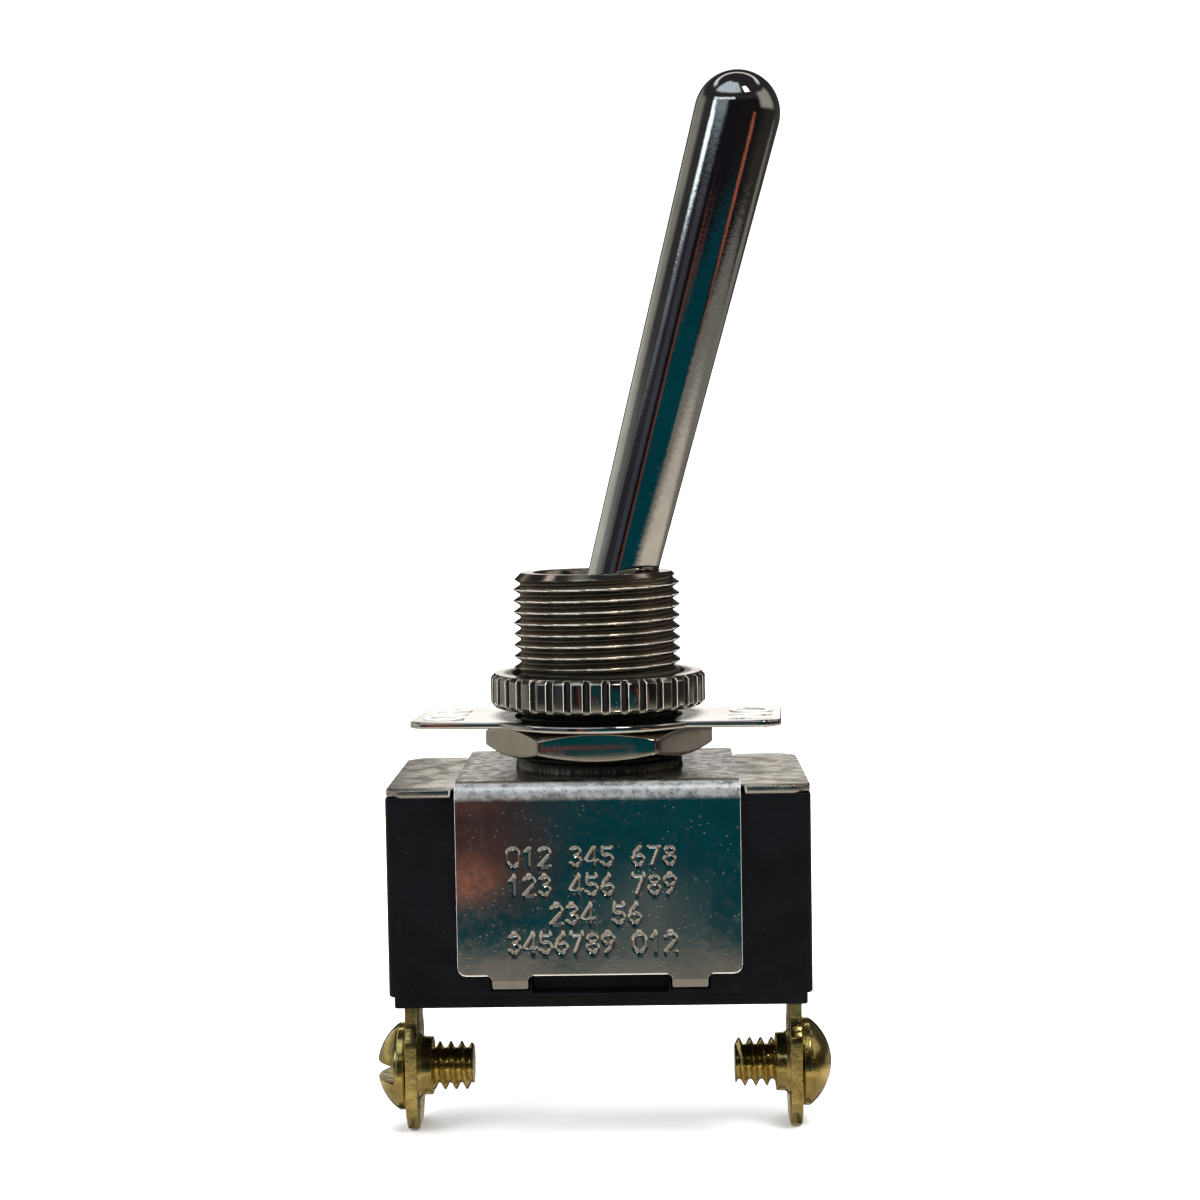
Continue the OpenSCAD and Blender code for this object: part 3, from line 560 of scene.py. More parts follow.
def brass(name, colour, rough, machined):
    """Bright brass: warm and green-gold clouds, turning or rolling lines, darker tarnish in patches."""
    def build(t):
        where = t.position()
        clouds = t.noise(where, 420, 4, 0.6)
        lines = t.noise(t.position(machined), 900, 3, 0.6)
        tarnish = t.noise(where, 900, 5, 0.65, 0.6)
        pit = t.specks(where, 1900, 0.11)
        shade = t.mix(clouds.range(0.3, 0.7), tuple(c * 0.80 for c in colour),
            (min(colour[0] * 1.12, 1), min(colour[1] * 1.18, 1), colour[2] * 1.3))
        shade = t.mix(tarnish.range(0.52, 0.72) * 0.6, shade, (0.30, 0.17, 0.045))
        return {
            "Base Color": t.mix(pit * 0.4, shade, (0.16, 0.11, 0.03)),
            "Roughness": tarnish.range(0.3, 0.8, rough * 0.75, rough * 1.8),
            "Normal": t.bump(lines * 0.6 + clouds * 3.0 + tarnish * 0.8 - pit * 0.8, 0.55, 0.00003),
        }
    return finish_material(name, build, 1.0)


def moulded(name, colour, rough, dust=0.5, sheen=0.5):
    """Moulded phenolic: faint swirl in the colour, satin skin with fine orange peel, pale rub marks and dust."""
    def build(t):
        where = t.position()
        swirl = t.noise(where, 180, 4, 0.6, 0.8)
        peel = t.noise(where, 2600, 3, 0.5)
        rub = t.noise(t.position((1, 1, 0.16), (0.2, 0.1, 0.3)), 900, 4, 0.7)
        fleck = t.specks(where, 1500, 0.09)
        shade = t.mix(swirl.range(0.3, 0.7), tuple(c * 0.7 for c in colour), tuple(c * 1.5 for c in colour))
        shade = t.mix(rub.range(0.60, 0.78) * 0.16 * dust, shade, (0.10, 0.10, 0.12))
        return {
            "Base Color": t.mix(fleck * 0.12 * dust, shade, (0.25, 0.25, 0.26)),
            "Roughness": rub.range(0.3, 0.8, rough * 0.8, rough * 1.35),
            "Normal": t.bump(peel + rub * 0.3, 0.12, 0.00002),
        }
    return finish_material(name, build, 0.0, ior=1.5, specular_ior_level=sheen)


# ---- Pieces ----

def columns(count):
    """Angles of a full turn, in radians, without the last."""
    return np.arange(count) * TAU / count


def make_lever(s):
    """The bat handle, turned about its own axis: a round tip, a cone that narrows to the neck, the ball,
    and a tail with the plunger's bore. Heights are measured from the pivot along the leaning axis."""
    tip, neck, ball, tail, tail_len, bore = mm(s, "tip_radius", "neck_radius", "ball_radius", "tail_radius",
        "tail_length", "bore_radius")
    top = (span("lever")[1][2] - PIVOT[2] - tip) / math.cos(LEAN)
    neck_s = math.sqrt(ball ** 2 - neck ** 2)
    tail_s = math.sqrt(ball ** 2 - tail ** 2)
    taper = math.degrees(math.atan2(tip - neck, top - neck_s))
    dome = arc((0, top), tip, 90, -taper, 28)
    cone = np.stack([np.linspace(dome[-1, 0], neck + 0.02, 40), np.linspace(dome[-1, 1], neck_s + 0.2, 40)], -1)
    round_ball = arc((0, 0), ball, math.degrees(math.atan2(neck_s, neck)) - 3,
        -math.degrees(math.atan2(tail_s, tail)) + 2, 36)
    end = np.array([[tail, -tail_s - 0.3], [tail, -tail_len], [bore, -tail_len], [bore, -4], [0, -3.4]])
    profile = np.concatenate([dome, cone, round_ball, soften(end, 0.15, 4, False)])
    profile[0, 0] = 0
    lean = Matrix.Translation(PIVOT) @ Matrix.Rotation(LEAN, 4, "Y")
    chrome = plated("lever_chrome_polish", tuple(s.chrome), s.haze, 700, smudge=0.9, pits=0.35,
        brush=(1, 1, 0.25), bump=0.35, peel=1.1)
    Shape().grid(placed(turned(profile, columns(160)), lean), wrap_columns=True).piece("bat_handle", "lever",
        "lever_chrome", chrome, ["lever"])


def make_bushing(s):
    """The bushing: outside, flange and helical thread; inside, a conical mouth, lip, round seat and flare.
    Every radius is the smaller of the thread, the chamfer and, at the back, the keyway's flat."""
    pitch, depth, chamfer, mouth, lip, rise = mm(s, "pitch", "depth", "chamfer", "mouth_radius", "lip_radius",
        "lip_rise")
    key_w, key_d = mm(s, "key_width", "key_depth")
    top, low, case_top = BUSH_HIGH[2], BUSH_LOW[2], CASE_HIGH[2]
    flange = BUSH_HIGH[0]
    key_edge = math.asin(key_w / 2 / THREAD_R)
    plain = math.pi / 2 + np.linspace(key_edge + 1e-4, TAU - key_edge - 1e-4, 232)
    key = math.pi / 2 + np.linspace(-key_edge + 1e-4, key_edge - 1e-4, 11)
    angles = np.concatenate([plain, key])
    angles = np.where(angles > TAU, angles - TAU, angles)
    in_key = np.concatenate([np.zeros(len(plain), bool), np.ones(len(key), bool)])
    heights = np.concatenate([[case_top, -2.6], np.arange(-2.4, top - 0.02, pitch / 15), [top - 0.02]])
    z, a = heights[:, None], angles[None]
    r = thread(z, a, THREAD_R, depth, pitch, lift=mm(s, "lead"))
    r = np.where(z < -2.5, THREAD_R, r)
    r = np.minimum(r, THREAD_R - np.maximum(z - (top - chamfer), 0) * 1.0)
    flat = (THREAD_R - key_d) / np.cos(a - math.pi / 2)
    r = np.where(in_key[None] & (z > STRAP_HIGH[2]), np.minimum(r, flat), r)
    outside = np.stack([r, np.broadcast_to(z, r.shape)], -1)
    pivot = PIVOT[2]
    seat_top = math.degrees(math.acos(lip / SEAT_R))
    inner = np.concatenate([
        soften(np.array([[THREAD_R - chamfer - 0.02, top], [mouth, top], [lip, pivot + rise],
            [lip, pivot + SEAT_R * math.sin(math.radians(seat_top))]]), 0.16, 4, False),
        arc((0, pivot), SEAT_R, seat_top, -16, 12),
        np.array([[5.0, low], [flange - 0.1, low], [flange, low + 0.1], [flange, case_top - 0.1],
            [flange - 0.1, case_top], [THREAD_R, case_top]]),
    ])
    inner = np.broadcast_to(inner[:, None], (len(inner), len(angles), 2)).copy()
    inner[0, :, 0] = np.minimum(inner[0, :, 0], np.where(in_key, flat[0] - 0.02, 99))
    # Tone: painted shade in the thread's roots, and a pale painted highlight on its crests above the ring nut
    sunk = (THREAD_R - r) / depth * (z < top - chamfer)
    sunk = np.where((r > THREAD_R - 0.015) & (z > KNURL_HIGH[2]), -0.55, sunk)
    # Painted shadow under the hex nut, between the two nuts and just above the ring nut
    nut_shade = np.maximum(band(z, -9, HEX_LOW[2] + 0.1, 0.3), band(z, HEX_HIGH[2], KNURL_LOW[2] + 0.1, 0.3))
    nut_shade = np.maximum(nut_shade, 0.75 * band(z, KNURL_HIGH[2] - 0.2, KNURL_HIGH[2] + 0.35, 0.5))
    # Painted shade inside the bore
    inside = np.where(inner[..., 1] < top - 0.25, 1.0, 0.0) * (inner[..., 0] < 5)
    points = turned(np.concatenate([outside, inner]), angles)
    metal = plated("bushing_nickel_worn", tuple(s.nickel), 0.15, 1500, smudge=0.8, pits=0.3,
        warm=(0.55, 0.38, 0.17), stain=0.35, brush=(0.3, 0.3, 1), shade_tint=(0.125, 0.110, 0.088), depth=0.87)
    tone = np.concatenate([np.where(nut_shade > 0.05, np.maximum(sunk, nut_shade * 1.6), sunk), inside])
    Shape().grid(points, wrap_rows=True, wrap_columns=True, tone=tone).piece("threaded_bushing", "housing",
        "bushing_nickel", metal, ["bushing"], smooth=50)


def make_knurled_nut(s):
    """The ring nut. Its outer radius is the circle, or the near side of a flute's circle where that is less;
    the section runs round the bore, both faces and both bevels."""
    flute, bevel = mm(s, "flute_radius", "bevel")
    radius, low, high = KNURL_HIGH[0], KNURL_LOW[2], KNURL_HIGH[2]
    half = TAU / s.flutes / 2
    edge = math.asin(flute / radius)
    round_r = 0.11
    groove_at = edge * np.array([0.30, 0.6, 0.85, 0.97])
    tooth_at = edge + round_r / radius * np.array([0.03, 0.12, 0.28, 0.55, 1.0])
    side = np.concatenate([groove_at, tooth_at, np.linspace(tooth_at[-1], half, 4)[1:]])
    offsets = np.concatenate([-side[::-1][1:], [0.0], side])
    angles = ((np.arange(s.flutes) + 0.5)[:, None] * 2 * half + offsets[None]).ravel()
    d = np.abs(radius * np.tile(offsets, s.flutes))
    groove = radius - np.sqrt(np.maximum(flute ** 2 - d ** 2, 0)) - 0.5 * round_r
    past = np.clip((d - flute) / round_r, 0, 1)
    rim = np.where(d < flute, groove, radius - round_r * (1 - np.sqrt(1 - (1 - past) ** 2)) * 0.6)
    slope = np.minimum(rim, radius - bevel)
    bore = np.full_like(rim, BORE_R)
    wide = bore + 0.3
    face = np.minimum(slope, radius - bevel) - 0.25
    chain = [(bore, low + 0.3), (bore, high - 0.3), (wide, high), (face, high), (slope, high),
        (rim, high - bevel), (rim, low + bevel), (slope, low), (face, low), (wide, low)]
    corners = np.stack([np.stack([r, np.full_like(r, z)], -1) for r, z in chain])
    section = soften(corners, 0.07, 3)
    # Tone: painted shade in the flutes and round the bore, and a pale painted highlight along the flutes' edges
    flank = np.clip((radius - 0.03 - rim) / flute, 0, 1) * 1.2
    tone = flank[None] * band(section[..., 1], low + 0.25, high - 0.25,
        0.3) * (section[..., 0] > radius - bevel - 0.3)
    tone = np.maximum(tone, 1.0 * (section[..., 0] < THREAD_R + 0.5))
    tone = tone - 0.8 * band(past, 0.08, 0.45, 0.12)[None] * band(section[..., 1], low + 0.15, high - 0.15,
        0.2) * (section[..., 0] > radius - bevel - 0.3)
    metal = plated("ring_nut_nickel", tuple(c * 0.74 for c in s.nickel), 0.11, 1600, smudge=0.7, pits=0.3,
        stain=0.15, brush=(1, 1, 0.3), shade_tint=(0.03, 0.028, 0.026))
    shape = Shape().grid(turned(section, angles), wrap_rows=True, wrap_columns=True, tone=tone)
    shape.piece("knurled_ring_nut", "knurled_nut", "knurl_nickel", metal, ["knurled_nut"], smooth=40)


def make_hex_nut(s):
    """The hex nut: across the angle its rim is half the flats over the cosine, kept a little inside the corners,
    and where the rim passes the flat face's circle both faces fall away as a blunt cone."""
    bevel, inset = math.tan(s.hex_bevel), mm(s, "hex_inset")
    flats, low, high = HEX_HIGH[1], HEX_LOW[2], HEX_HIGH[2]
    sector = np.concatenate([np.linspace(-30, -27.5, 6), np.linspace(-26, 26, 27),
        np.linspace(27.5, 30, 6)[:-1]])
    angles = np.radians((np.arange(6) * 60 + 30)[:, None] + sector[None]).ravel()
    corner = flats / math.cos(math.radians(30))
    raw = flats / np.cos(np.radians(np.tile(sector, 6)))
    rim = raw - 0.10 * np.exp(-((corner - raw) / 0.09))
    circle = np.full_like(rim, flats - inset)
    drop = (rim - circle) * bevel
    bore = np.full_like(rim, BORE_R)
    ring = lambda r, z: np.stack([r, z + 0 * r], -1)
    section = soften(np.stack([
        ring(bore, low + 0.35), ring(bore, high - 0.35), ring(bore + 0.35, high), ring(circle, high),
        ring(rim, high - drop),
        ring(rim, low + drop), ring(circle, low), ring(bore + 0.35, low),
    ]), 0.10, 4)
    metal = plated("hex_nut_nickel", tuple(s.nickel), 0.08, 1300, smudge=0.9, pits=0.6, stain=0.10, bump=0.6)
    Shape().grid(turned(section, angles), wrap_rows=True, wrap_columns=True).piece("panel_hex_nut", "hex_nut",
        "nut_nickel", metal, ["hex_nut"], smooth=28)


def words_mesh(text, size, place, relief):
    """Raised letters: the built-in face, thickened and rounded, made a mesh and then put in its place."""
    curve = bpy.data.curves.new("words", "FONT")
    curve.body, curve.size, curve.align_x, curve.align_y = text, size / 1000 * 1.38, "CENTER", "CENTER"
    curve.space_character, curve.offset = 1.12, 0.00003
    curve.extrude, curve.bevel_depth, curve.bevel_resolution = (relief - 0.05) / 1000, 0.00005, 2
    holder = bpy.data.objects.new("words", curve)
    mesh = bpy.data.meshes.new_from_object(holder)
    bpy.data.objects.remove(holder)
    mesh.transform(place)
    mesh.materials.clear()
    return mesh


def make_label(s):
    """The ON-OFF plate: two tabs with chamfered corners and a round middle, a hole with its key, raised words."""
    half_w, disc, chamfer, reach = mm(s, "tab_width") / 2, *mm(s, "disc_radius", "chamfer", "tab_reach")
    low, high, relief = LABEL_LOW[2], LABEL_HIGH[2], mm(s, "relief")
    join = math.degrees(math.asin(half_w / disc))
    tab = soften(np.array([[disc * math.cos(math.radians(join)), half_w], [reach - chamfer, half_w],
        [reach, half_w - chamfer], [reach, chamfer - half_w], [reach - chamfer, -half_w],
        [disc * math.cos(math.radians(join)), -half_w]]), 0.45, 5, False)[::-1]
    outline = np.concatenate([tab, arc((0, 0), disc, join + 2, 178 - join, 40), -tab,
        -arc((0, 0), disc, join + 2, 178 - join, 40)])
    hole_r, key_r, key = BORE_R, THREAD_R - 0.75 + 0.05, 0.5
    gap = math.degrees(math.asin(key / hole_r))
    hole = np.concatenate([arc((0, 0), hole_r, 90 + gap, 450 - gap, 120), [[key, key_r], [-key, key_r]]])
    turn = Matrix.Rotation(s.turn, 4, "Z")
    # The plate gets a painted shadow ring round the ring nut
    metal = plated("label_plate_nickel", tuple(s.nickel), 0.05, 900, smudge=1.0, pits=0.6, stain=0.12, bump=1.0,
        shadow_ring=(7.2, 8.6))
    Shape().sheet(outline, [hole], low, high, 0.09, turn).piece("lettered_plate", "housing", "label_nickel",
        metal, ["label_plate"])
    size = mm(s, "letter_height")
    pale_highlight = plated("label_word_nickel", tuple(s.nickel), 0.34, 1500, smudge=0.6, pits=0.3, stain=0.05, bump=1.5)
    for text, side in (("ON", 1), ("OFF", -1)):
        where = turn @ Matrix.Translation((side * WORD_PLACE / 1000, 0,
            high / 1000)) @ Matrix.Rotation(-side * math.pi / 2, 4, "Z")
        mesh = words_mesh(text, size if side > 0 else size * 0.92, where, relief)
        obj = bpy.data.objects.new(f"word_{text.lower()}", mesh)
        bpy.context.scene.collection.objects.link(obj)
        mesh.materials.append(pale_highlight)
        # The letters get a negative tone: painted paler all over, a painted highlight
        letter_highlight = mesh.attributes.new("tone", "FLOAT", "POINT")
        letter_highlight.data.foreach_set("value", np.full(len(mesh.vertices), -0.7, dtype=np.float32))
        mesh.shade_smooth()
        mesh.set_sharp_from_angle(angle=math.radians(40))
        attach(obj, "housing")


def digit_strokes():
    """Strokes of the ten digits on a box one high and 0.62 wide: straight runs and arcs, as chains of points."""
    w = 0.31
    oval = np.concatenate([arc((w, 1 - w), w, 0, 180, 9), arc((w, w), w, 180, 360, 9), [[2 * w, 1 - w]]])
    return {
        "0": [oval],
        "1": [np.array([[0.14, 0.78], [0.34, 1.0], [0.34, 0.0]])],
        "2": [np.concatenate([arc((w, 0.72), 0.28, 165, -30, 10), [[0.03, 0.0], [0.6, 0.0]]])],
        "3": [np.concatenate([arc((w - 0.02, 0.765), 0.235, 150, -90, 10),
            arc((w - 0.02, 0.27), 0.27, 88, -155, 10)])],
        "4": [np.array([[0.46, 0.0], [0.46, 1.0], [0.02, 0.30], [0.62, 0.30]])],
        "5": [np.concatenate([[[0.55, 1.0], [0.1, 1.0], [0.06, 0.56]],
            arc((w - 0.02, 0.3), 0.3, 110, -155, 11)])],
        "6": [arc((w, 0.28), 0.28, 180, 540, 18), np.array([[0.035, 0.32], [0.16, 0.72], [0.42, 1.0]])],
        "7": [np.array([[0.02, 1.0], [0.6, 1.0], [0.22, 0.0]])],
        "8": [arc((w, 0.755), 0.225, 0, 360, 16), arc((w, 0.27), 0.27, 0, 360, 16)],
        "9": [arc((w, 0.72), 0.28, 0, 360, 18), np.array([[0.585, 0.68], [0.46, 0.28], [0.2, 0.0]])],
    }


def stamped_rows(x, z, rows, height, width):
    """How deep plain digits press into the sheet, from 0 to 1: 1 on a stroke, falling off smoothly at its edge.
    The distance to every stroke is taken for all points at once, and the least of them counts."""
    strokes = digit_strokes()
    nearest = np.full(x.shape, 9.0)
    for text, left, base in rows:
        for place, mark in enumerate(text):
            for chain in strokes.get(mark, []):
                chain = np.asarray(chain) * height + [left + place * height * 0.855, base]
                a, b = chain[:-1], chain[1:]
                near = (x > chain[:, 0].min() - 0.3) & (x < chain[:,
                    0].max() + 0.3) & (z > base - 0.3) & (z < base + height + 0.3)
                if not near.any():
                    continue
                p = np.stack([x[near], z[near]], -1)[:, None]
                along = b - a
                t = np.clip(np.sum((p - a) * along, -1) / (np.sum(along ** 2, -1) + 1e-9), 0, 1)
                gap = np.linalg.norm(p - a - t[..., None] * along, axis=-1).min(1)
                nearest[near] = np.minimum(nearest[near], gap)
    return 1 - step(nearest, width * 0.35, width * 0.55)


def make_strap(s):
    """The folded frame. Its outer face is a sheet of two parameters, across and along: the top round the hole,
    a quarter turn at each bend and a flat leg, whose last rows follow the corners' radius. Tabs widen to their
    roots and lean in below them. Digits are pressed into the front leg. The sheet's thickness is added inwards."""
    bend, corner, tab_w, pitch, tab_len, root, crimp, sheet = mm(s, "bend_radius", "corner_radius", "tab_width",
        "tab_pitch", "tab_length", "root_radius", "crimp", "sheet")
    half, face, top = STRAP_HIGH[0], STRAP_HIGH[1], STRAP_HIGH[2]
    leg_low = STRAP_LOW[2] + tab_len
    root_half = tab_w / 2 + root
    shape = Shape()
    depth, stroke = mm(s, "stamp_depth", "stamp_width")
    edges = {}
    for side in (-1, 1):
        fine = side < 0
        reach = pitch / 2 + root_half
        outer = half - np.array([0, 0.04, 0.1, 0.2, 0.35, 0.6, 1.0, 1.5])
        outer = outer[outer > reach + 0.05]
        tab_x = pitch / 2 + np.linspace(root_half, -root_half, 42 if fine else 20)
        middle = np.linspace(pitch / 2 - root_half, -(pitch / 2 - root_half), 122 if fine else 24)[1:-1]
        x = np.concatenate([outer, tab_x, middle, -tab_x[::-1], -outer[::-1]])[::-1]
        edges[side] = x
        turn = np.linspace(0, math.pi / 2, 11)
        near_end = half - np.abs(x)
        low = np.where(near_end < corner,
            leg_low + corner - np.sqrt(np.maximum(corner ** 2 - (corner - near_end) ** 2, 0)), leg_low)
        if fine:
            text = [base + np.append(np.arange(1.36, -0.12, -0.07), -0.38) for _, _, base in STAMPED_ROWS]
            leg = np.concatenate([np.linspace(top - bend, -7.5, 12)[1:], *text])
        else:
            leg = np.linspace(top - bend, -15.3, 30)[1:]
        start = leg[-1]
        tail = np.linspace(0, 1, 12)[1:]
        z = np.concatenate([
            np.repeat((top - bend + bend * np.cos(turn))[:, None], len(x), 1),
            np.repeat(leg[:, None], len(x), 1), start + (low[None] - start) * tail[:, None],
        ])
        out = np.concatenate([(face - bend + bend * np.sin(turn)), np.full(len(leg) + len(tail), face)])
        out = np.repeat(out[:, None], len(x), 1)
        grid_x = np.repeat(x[None], len(z), 0)
        press = stamped_rows(grid_x, z, STAMPED_ROWS, DIGIT_HEIGHT,
            stroke) * (z < top - bend) if fine else 0 * z
        # The cut edges get tone -1, a pale painted highlight; the strokes get their pressing depth
        rim = (half - np.abs(grid_x) < 0.02) | ((z - low[None] < 0.02) & (np.abs(np.abs(grid_x)
            - pitch / 2) > root_half - 0.05))
        shape.grid(np.stack([grid_x, side * (out - depth * press), z], -1), tone=np.where(rim, -1.0, press))
        for centre in (-pitch / 2, pitch / 2):
            down = np.concatenate([np.linspace(0, root, 8), np.linspace(root, tab_len, 9)[1:]])
            wide = tab_w / 2 + np.where(down < root, root - np.sqrt(np.maximum(root ** 2 - (root - down) ** 2,
                0)), 0)
            wide = np.where(tab_len - down < 0.12, wide - (0.12 - tab_len + down) * 0.7, wide)
            u = np.linspace(-1, 1, 42 if fine else 20)
            tab_z = np.repeat((leg_low - down)[:, None], len(u), 1)
            lean = crimp * np.maximum(down - root, 0) / (tab_len - root)
            tab_y = np.repeat((side * (face - lean))[:, None], len(u), 1)
            shape.grid(np.stack([centre + wide[:, None] * u[None], tab_y, tab_z], -1))
    # The top, from the bushing's hole out to the two bends and the two cut edges
    flat = face - bend
    ends = np.linspace(-flat, flat, 40)[1:-1]
    rim = np.concatenate([
        np.stack([edges[-1], np.full(len(edges[-1]), -flat)], -1),
        np.stack([np.full(len(ends), half), ends], -1),
        np.stack([edges[1][::-1], np.full(len(edges[1]), flat)], -1),
        np.stack([np.full(len(ends), -half), ends[::-1]], -1),
    ])
    hole = rim / np.linalg.norm(rim, axis=1, keepdims=True) * BORE_R
    share = np.linspace(0, 1, 8)[:, None, None]
    panel = hole + (rim - hole) * share
    shape.grid(np.concatenate([panel, np.full(panel.shape[:2] + (1,), top)], -1), wrap_columns=True)

    def build(t):
        where, rise = t.position(), t.place(2)
        waves = t.noise(where, 150, 1, 0.4)
        clouds = t.noise(where, 420, 3, 0.55, 0.5)
        film = t.noise(where, 1300, 5, 0.7, 0.3)
        brushed = t.noise(t.position((0.10, 1, 1)), 1500, 3, 0.65)
        scuff = t.noise(t.position((1, 1, 0.14), (0.0, 0.5, 0.0)), 1400, 4, 0.7)
        pit = t.specks(where, 2100, 0.12) * t.noise(where, 420, 2).range(0.42, 0.6)
        stamped = t.tone().range(0.3, 0.8)
        upper = rise.range(top - 0.16, top - 0.02)
        bent = rise.range(top - bend - 0.35, top - bend + 0.15)
        shadow = upper * (1 - (t.reach() + film * 1.0).range(6.6, 8.0))
        colour = tuple(s.steel)
        shade = t.mix(clouds.range(0.3, 0.7), tuple(c * 0.90 for c in colour),
            tuple(min(c * 1.06, 1) for c in colour))
        # The top face is painted darker than the legs: painted shade
        shade = t.mix(upper * 0.8, shade, (0.40, 0.39, 0.365))
        # The bends are painted a pale bluish grey and made less metallic: a painted reflection; their rougher,
        # bumpier finish is the sheet's own
        shade = t.mix(bent * (1 - upper) * 0.6, shade, (0.54, 0.57, 0.62))
        shade = t.mix(pit * 0.5, shade, (0.10, 0.09, 0.08))
        # The stamped strokes are painted paler: a painted highlight
        shade = t.mix(stamped * 0.45, shade, (0.84, 0.83, 0.79))
        # Pale painted highlight on the cut edges
        pale_highlight = t.tone().range(-0.2, -0.9)
        polish = film.range(0.4, 0.75, 0.045, 0.10) + scuff.range(0.62, 0.75) * 0.12 + pit * 0.2
        return {
            "Base Color": t.mix(pale_highlight, t.mix(shadow * 0.93, shade, (0.035, 0.031, 0.027)), (0.92, 0.90, 0.86)),
            "Metallic": 1 - pale_highlight * 0.6 - bent * (1 - upper) * film.range(0.3, 0.7, 0.08, 0.32),
            "Roughness": polish + bent * film.range(0.3, 0.7, 0.16, 0.34) + stamped * 0.32,
            "Normal": t.bump(waves * 4.0 + clouds * 0.5 - pit * 0.5 + bent * brushed * 1.4 + bent * film * 0.8,
                0.16, 0.00003),
        }
    steel = finish_material("frame_steel_polish", build, 1.0)
    obj = shape.piece("folded_frame", "housing", "frame_steel", steel, ["frame"], smooth=30)
    thick = obj.modifiers.new("sheet", "SOLIDIFY")
    thick.thickness, thick.offset, thick.use_even_offset = sheet / 1000, -1, True
    soft = obj.modifiers.new("edges", "BEVEL")
    soft.width, soft.segments, soft.limit_method = 0.00007, 2, "ANGLE"
    soft.angle_limit, soft.harden_normals = math.radians(75), False


def make_cover(s):
    """The cover plate: a rectangle with chamfered corners, notched front and back for the frame, and its hole."""
    chamfer, notch, notch_d = mm(s, "chamfer", "notch_half", "notch_depth")
    w, d = COVER_HIGH[0], COVER_HIGH[1]
    quarter = np.array([[w, 0.0], [w, d - chamfer], [w - chamfer, d], [notch, d], [notch, d - notch_d]])
    corners = np.concatenate([quarter, (quarter * [-1, 1])[::-1][:-1], (quarter * [-1, -1])[1:],
        (quarter * [1, -1])[::-1][:-1]])
    outline = soften(corners, 0.3, 4)
    hole = arc((0, 0), BORE_R, 0, 360, 121)[:-1]
    steel = plated("cover_steel_satin", tuple(s.steel), 0.24, 1500, smudge=0.7, pits=0.5, stain=0.12,
        brush=(0.12, 1, 1), bump=1.6, specular_tint=(0.80, 0.78, 0.74, 1.0))
    Shape().sheet(outline, [hole], COVER_LOW[2], COVER_HIGH[2], 0.10).piece("cover_sheet", "housing",
        "cover_steel", steel, ["cover_plate"])


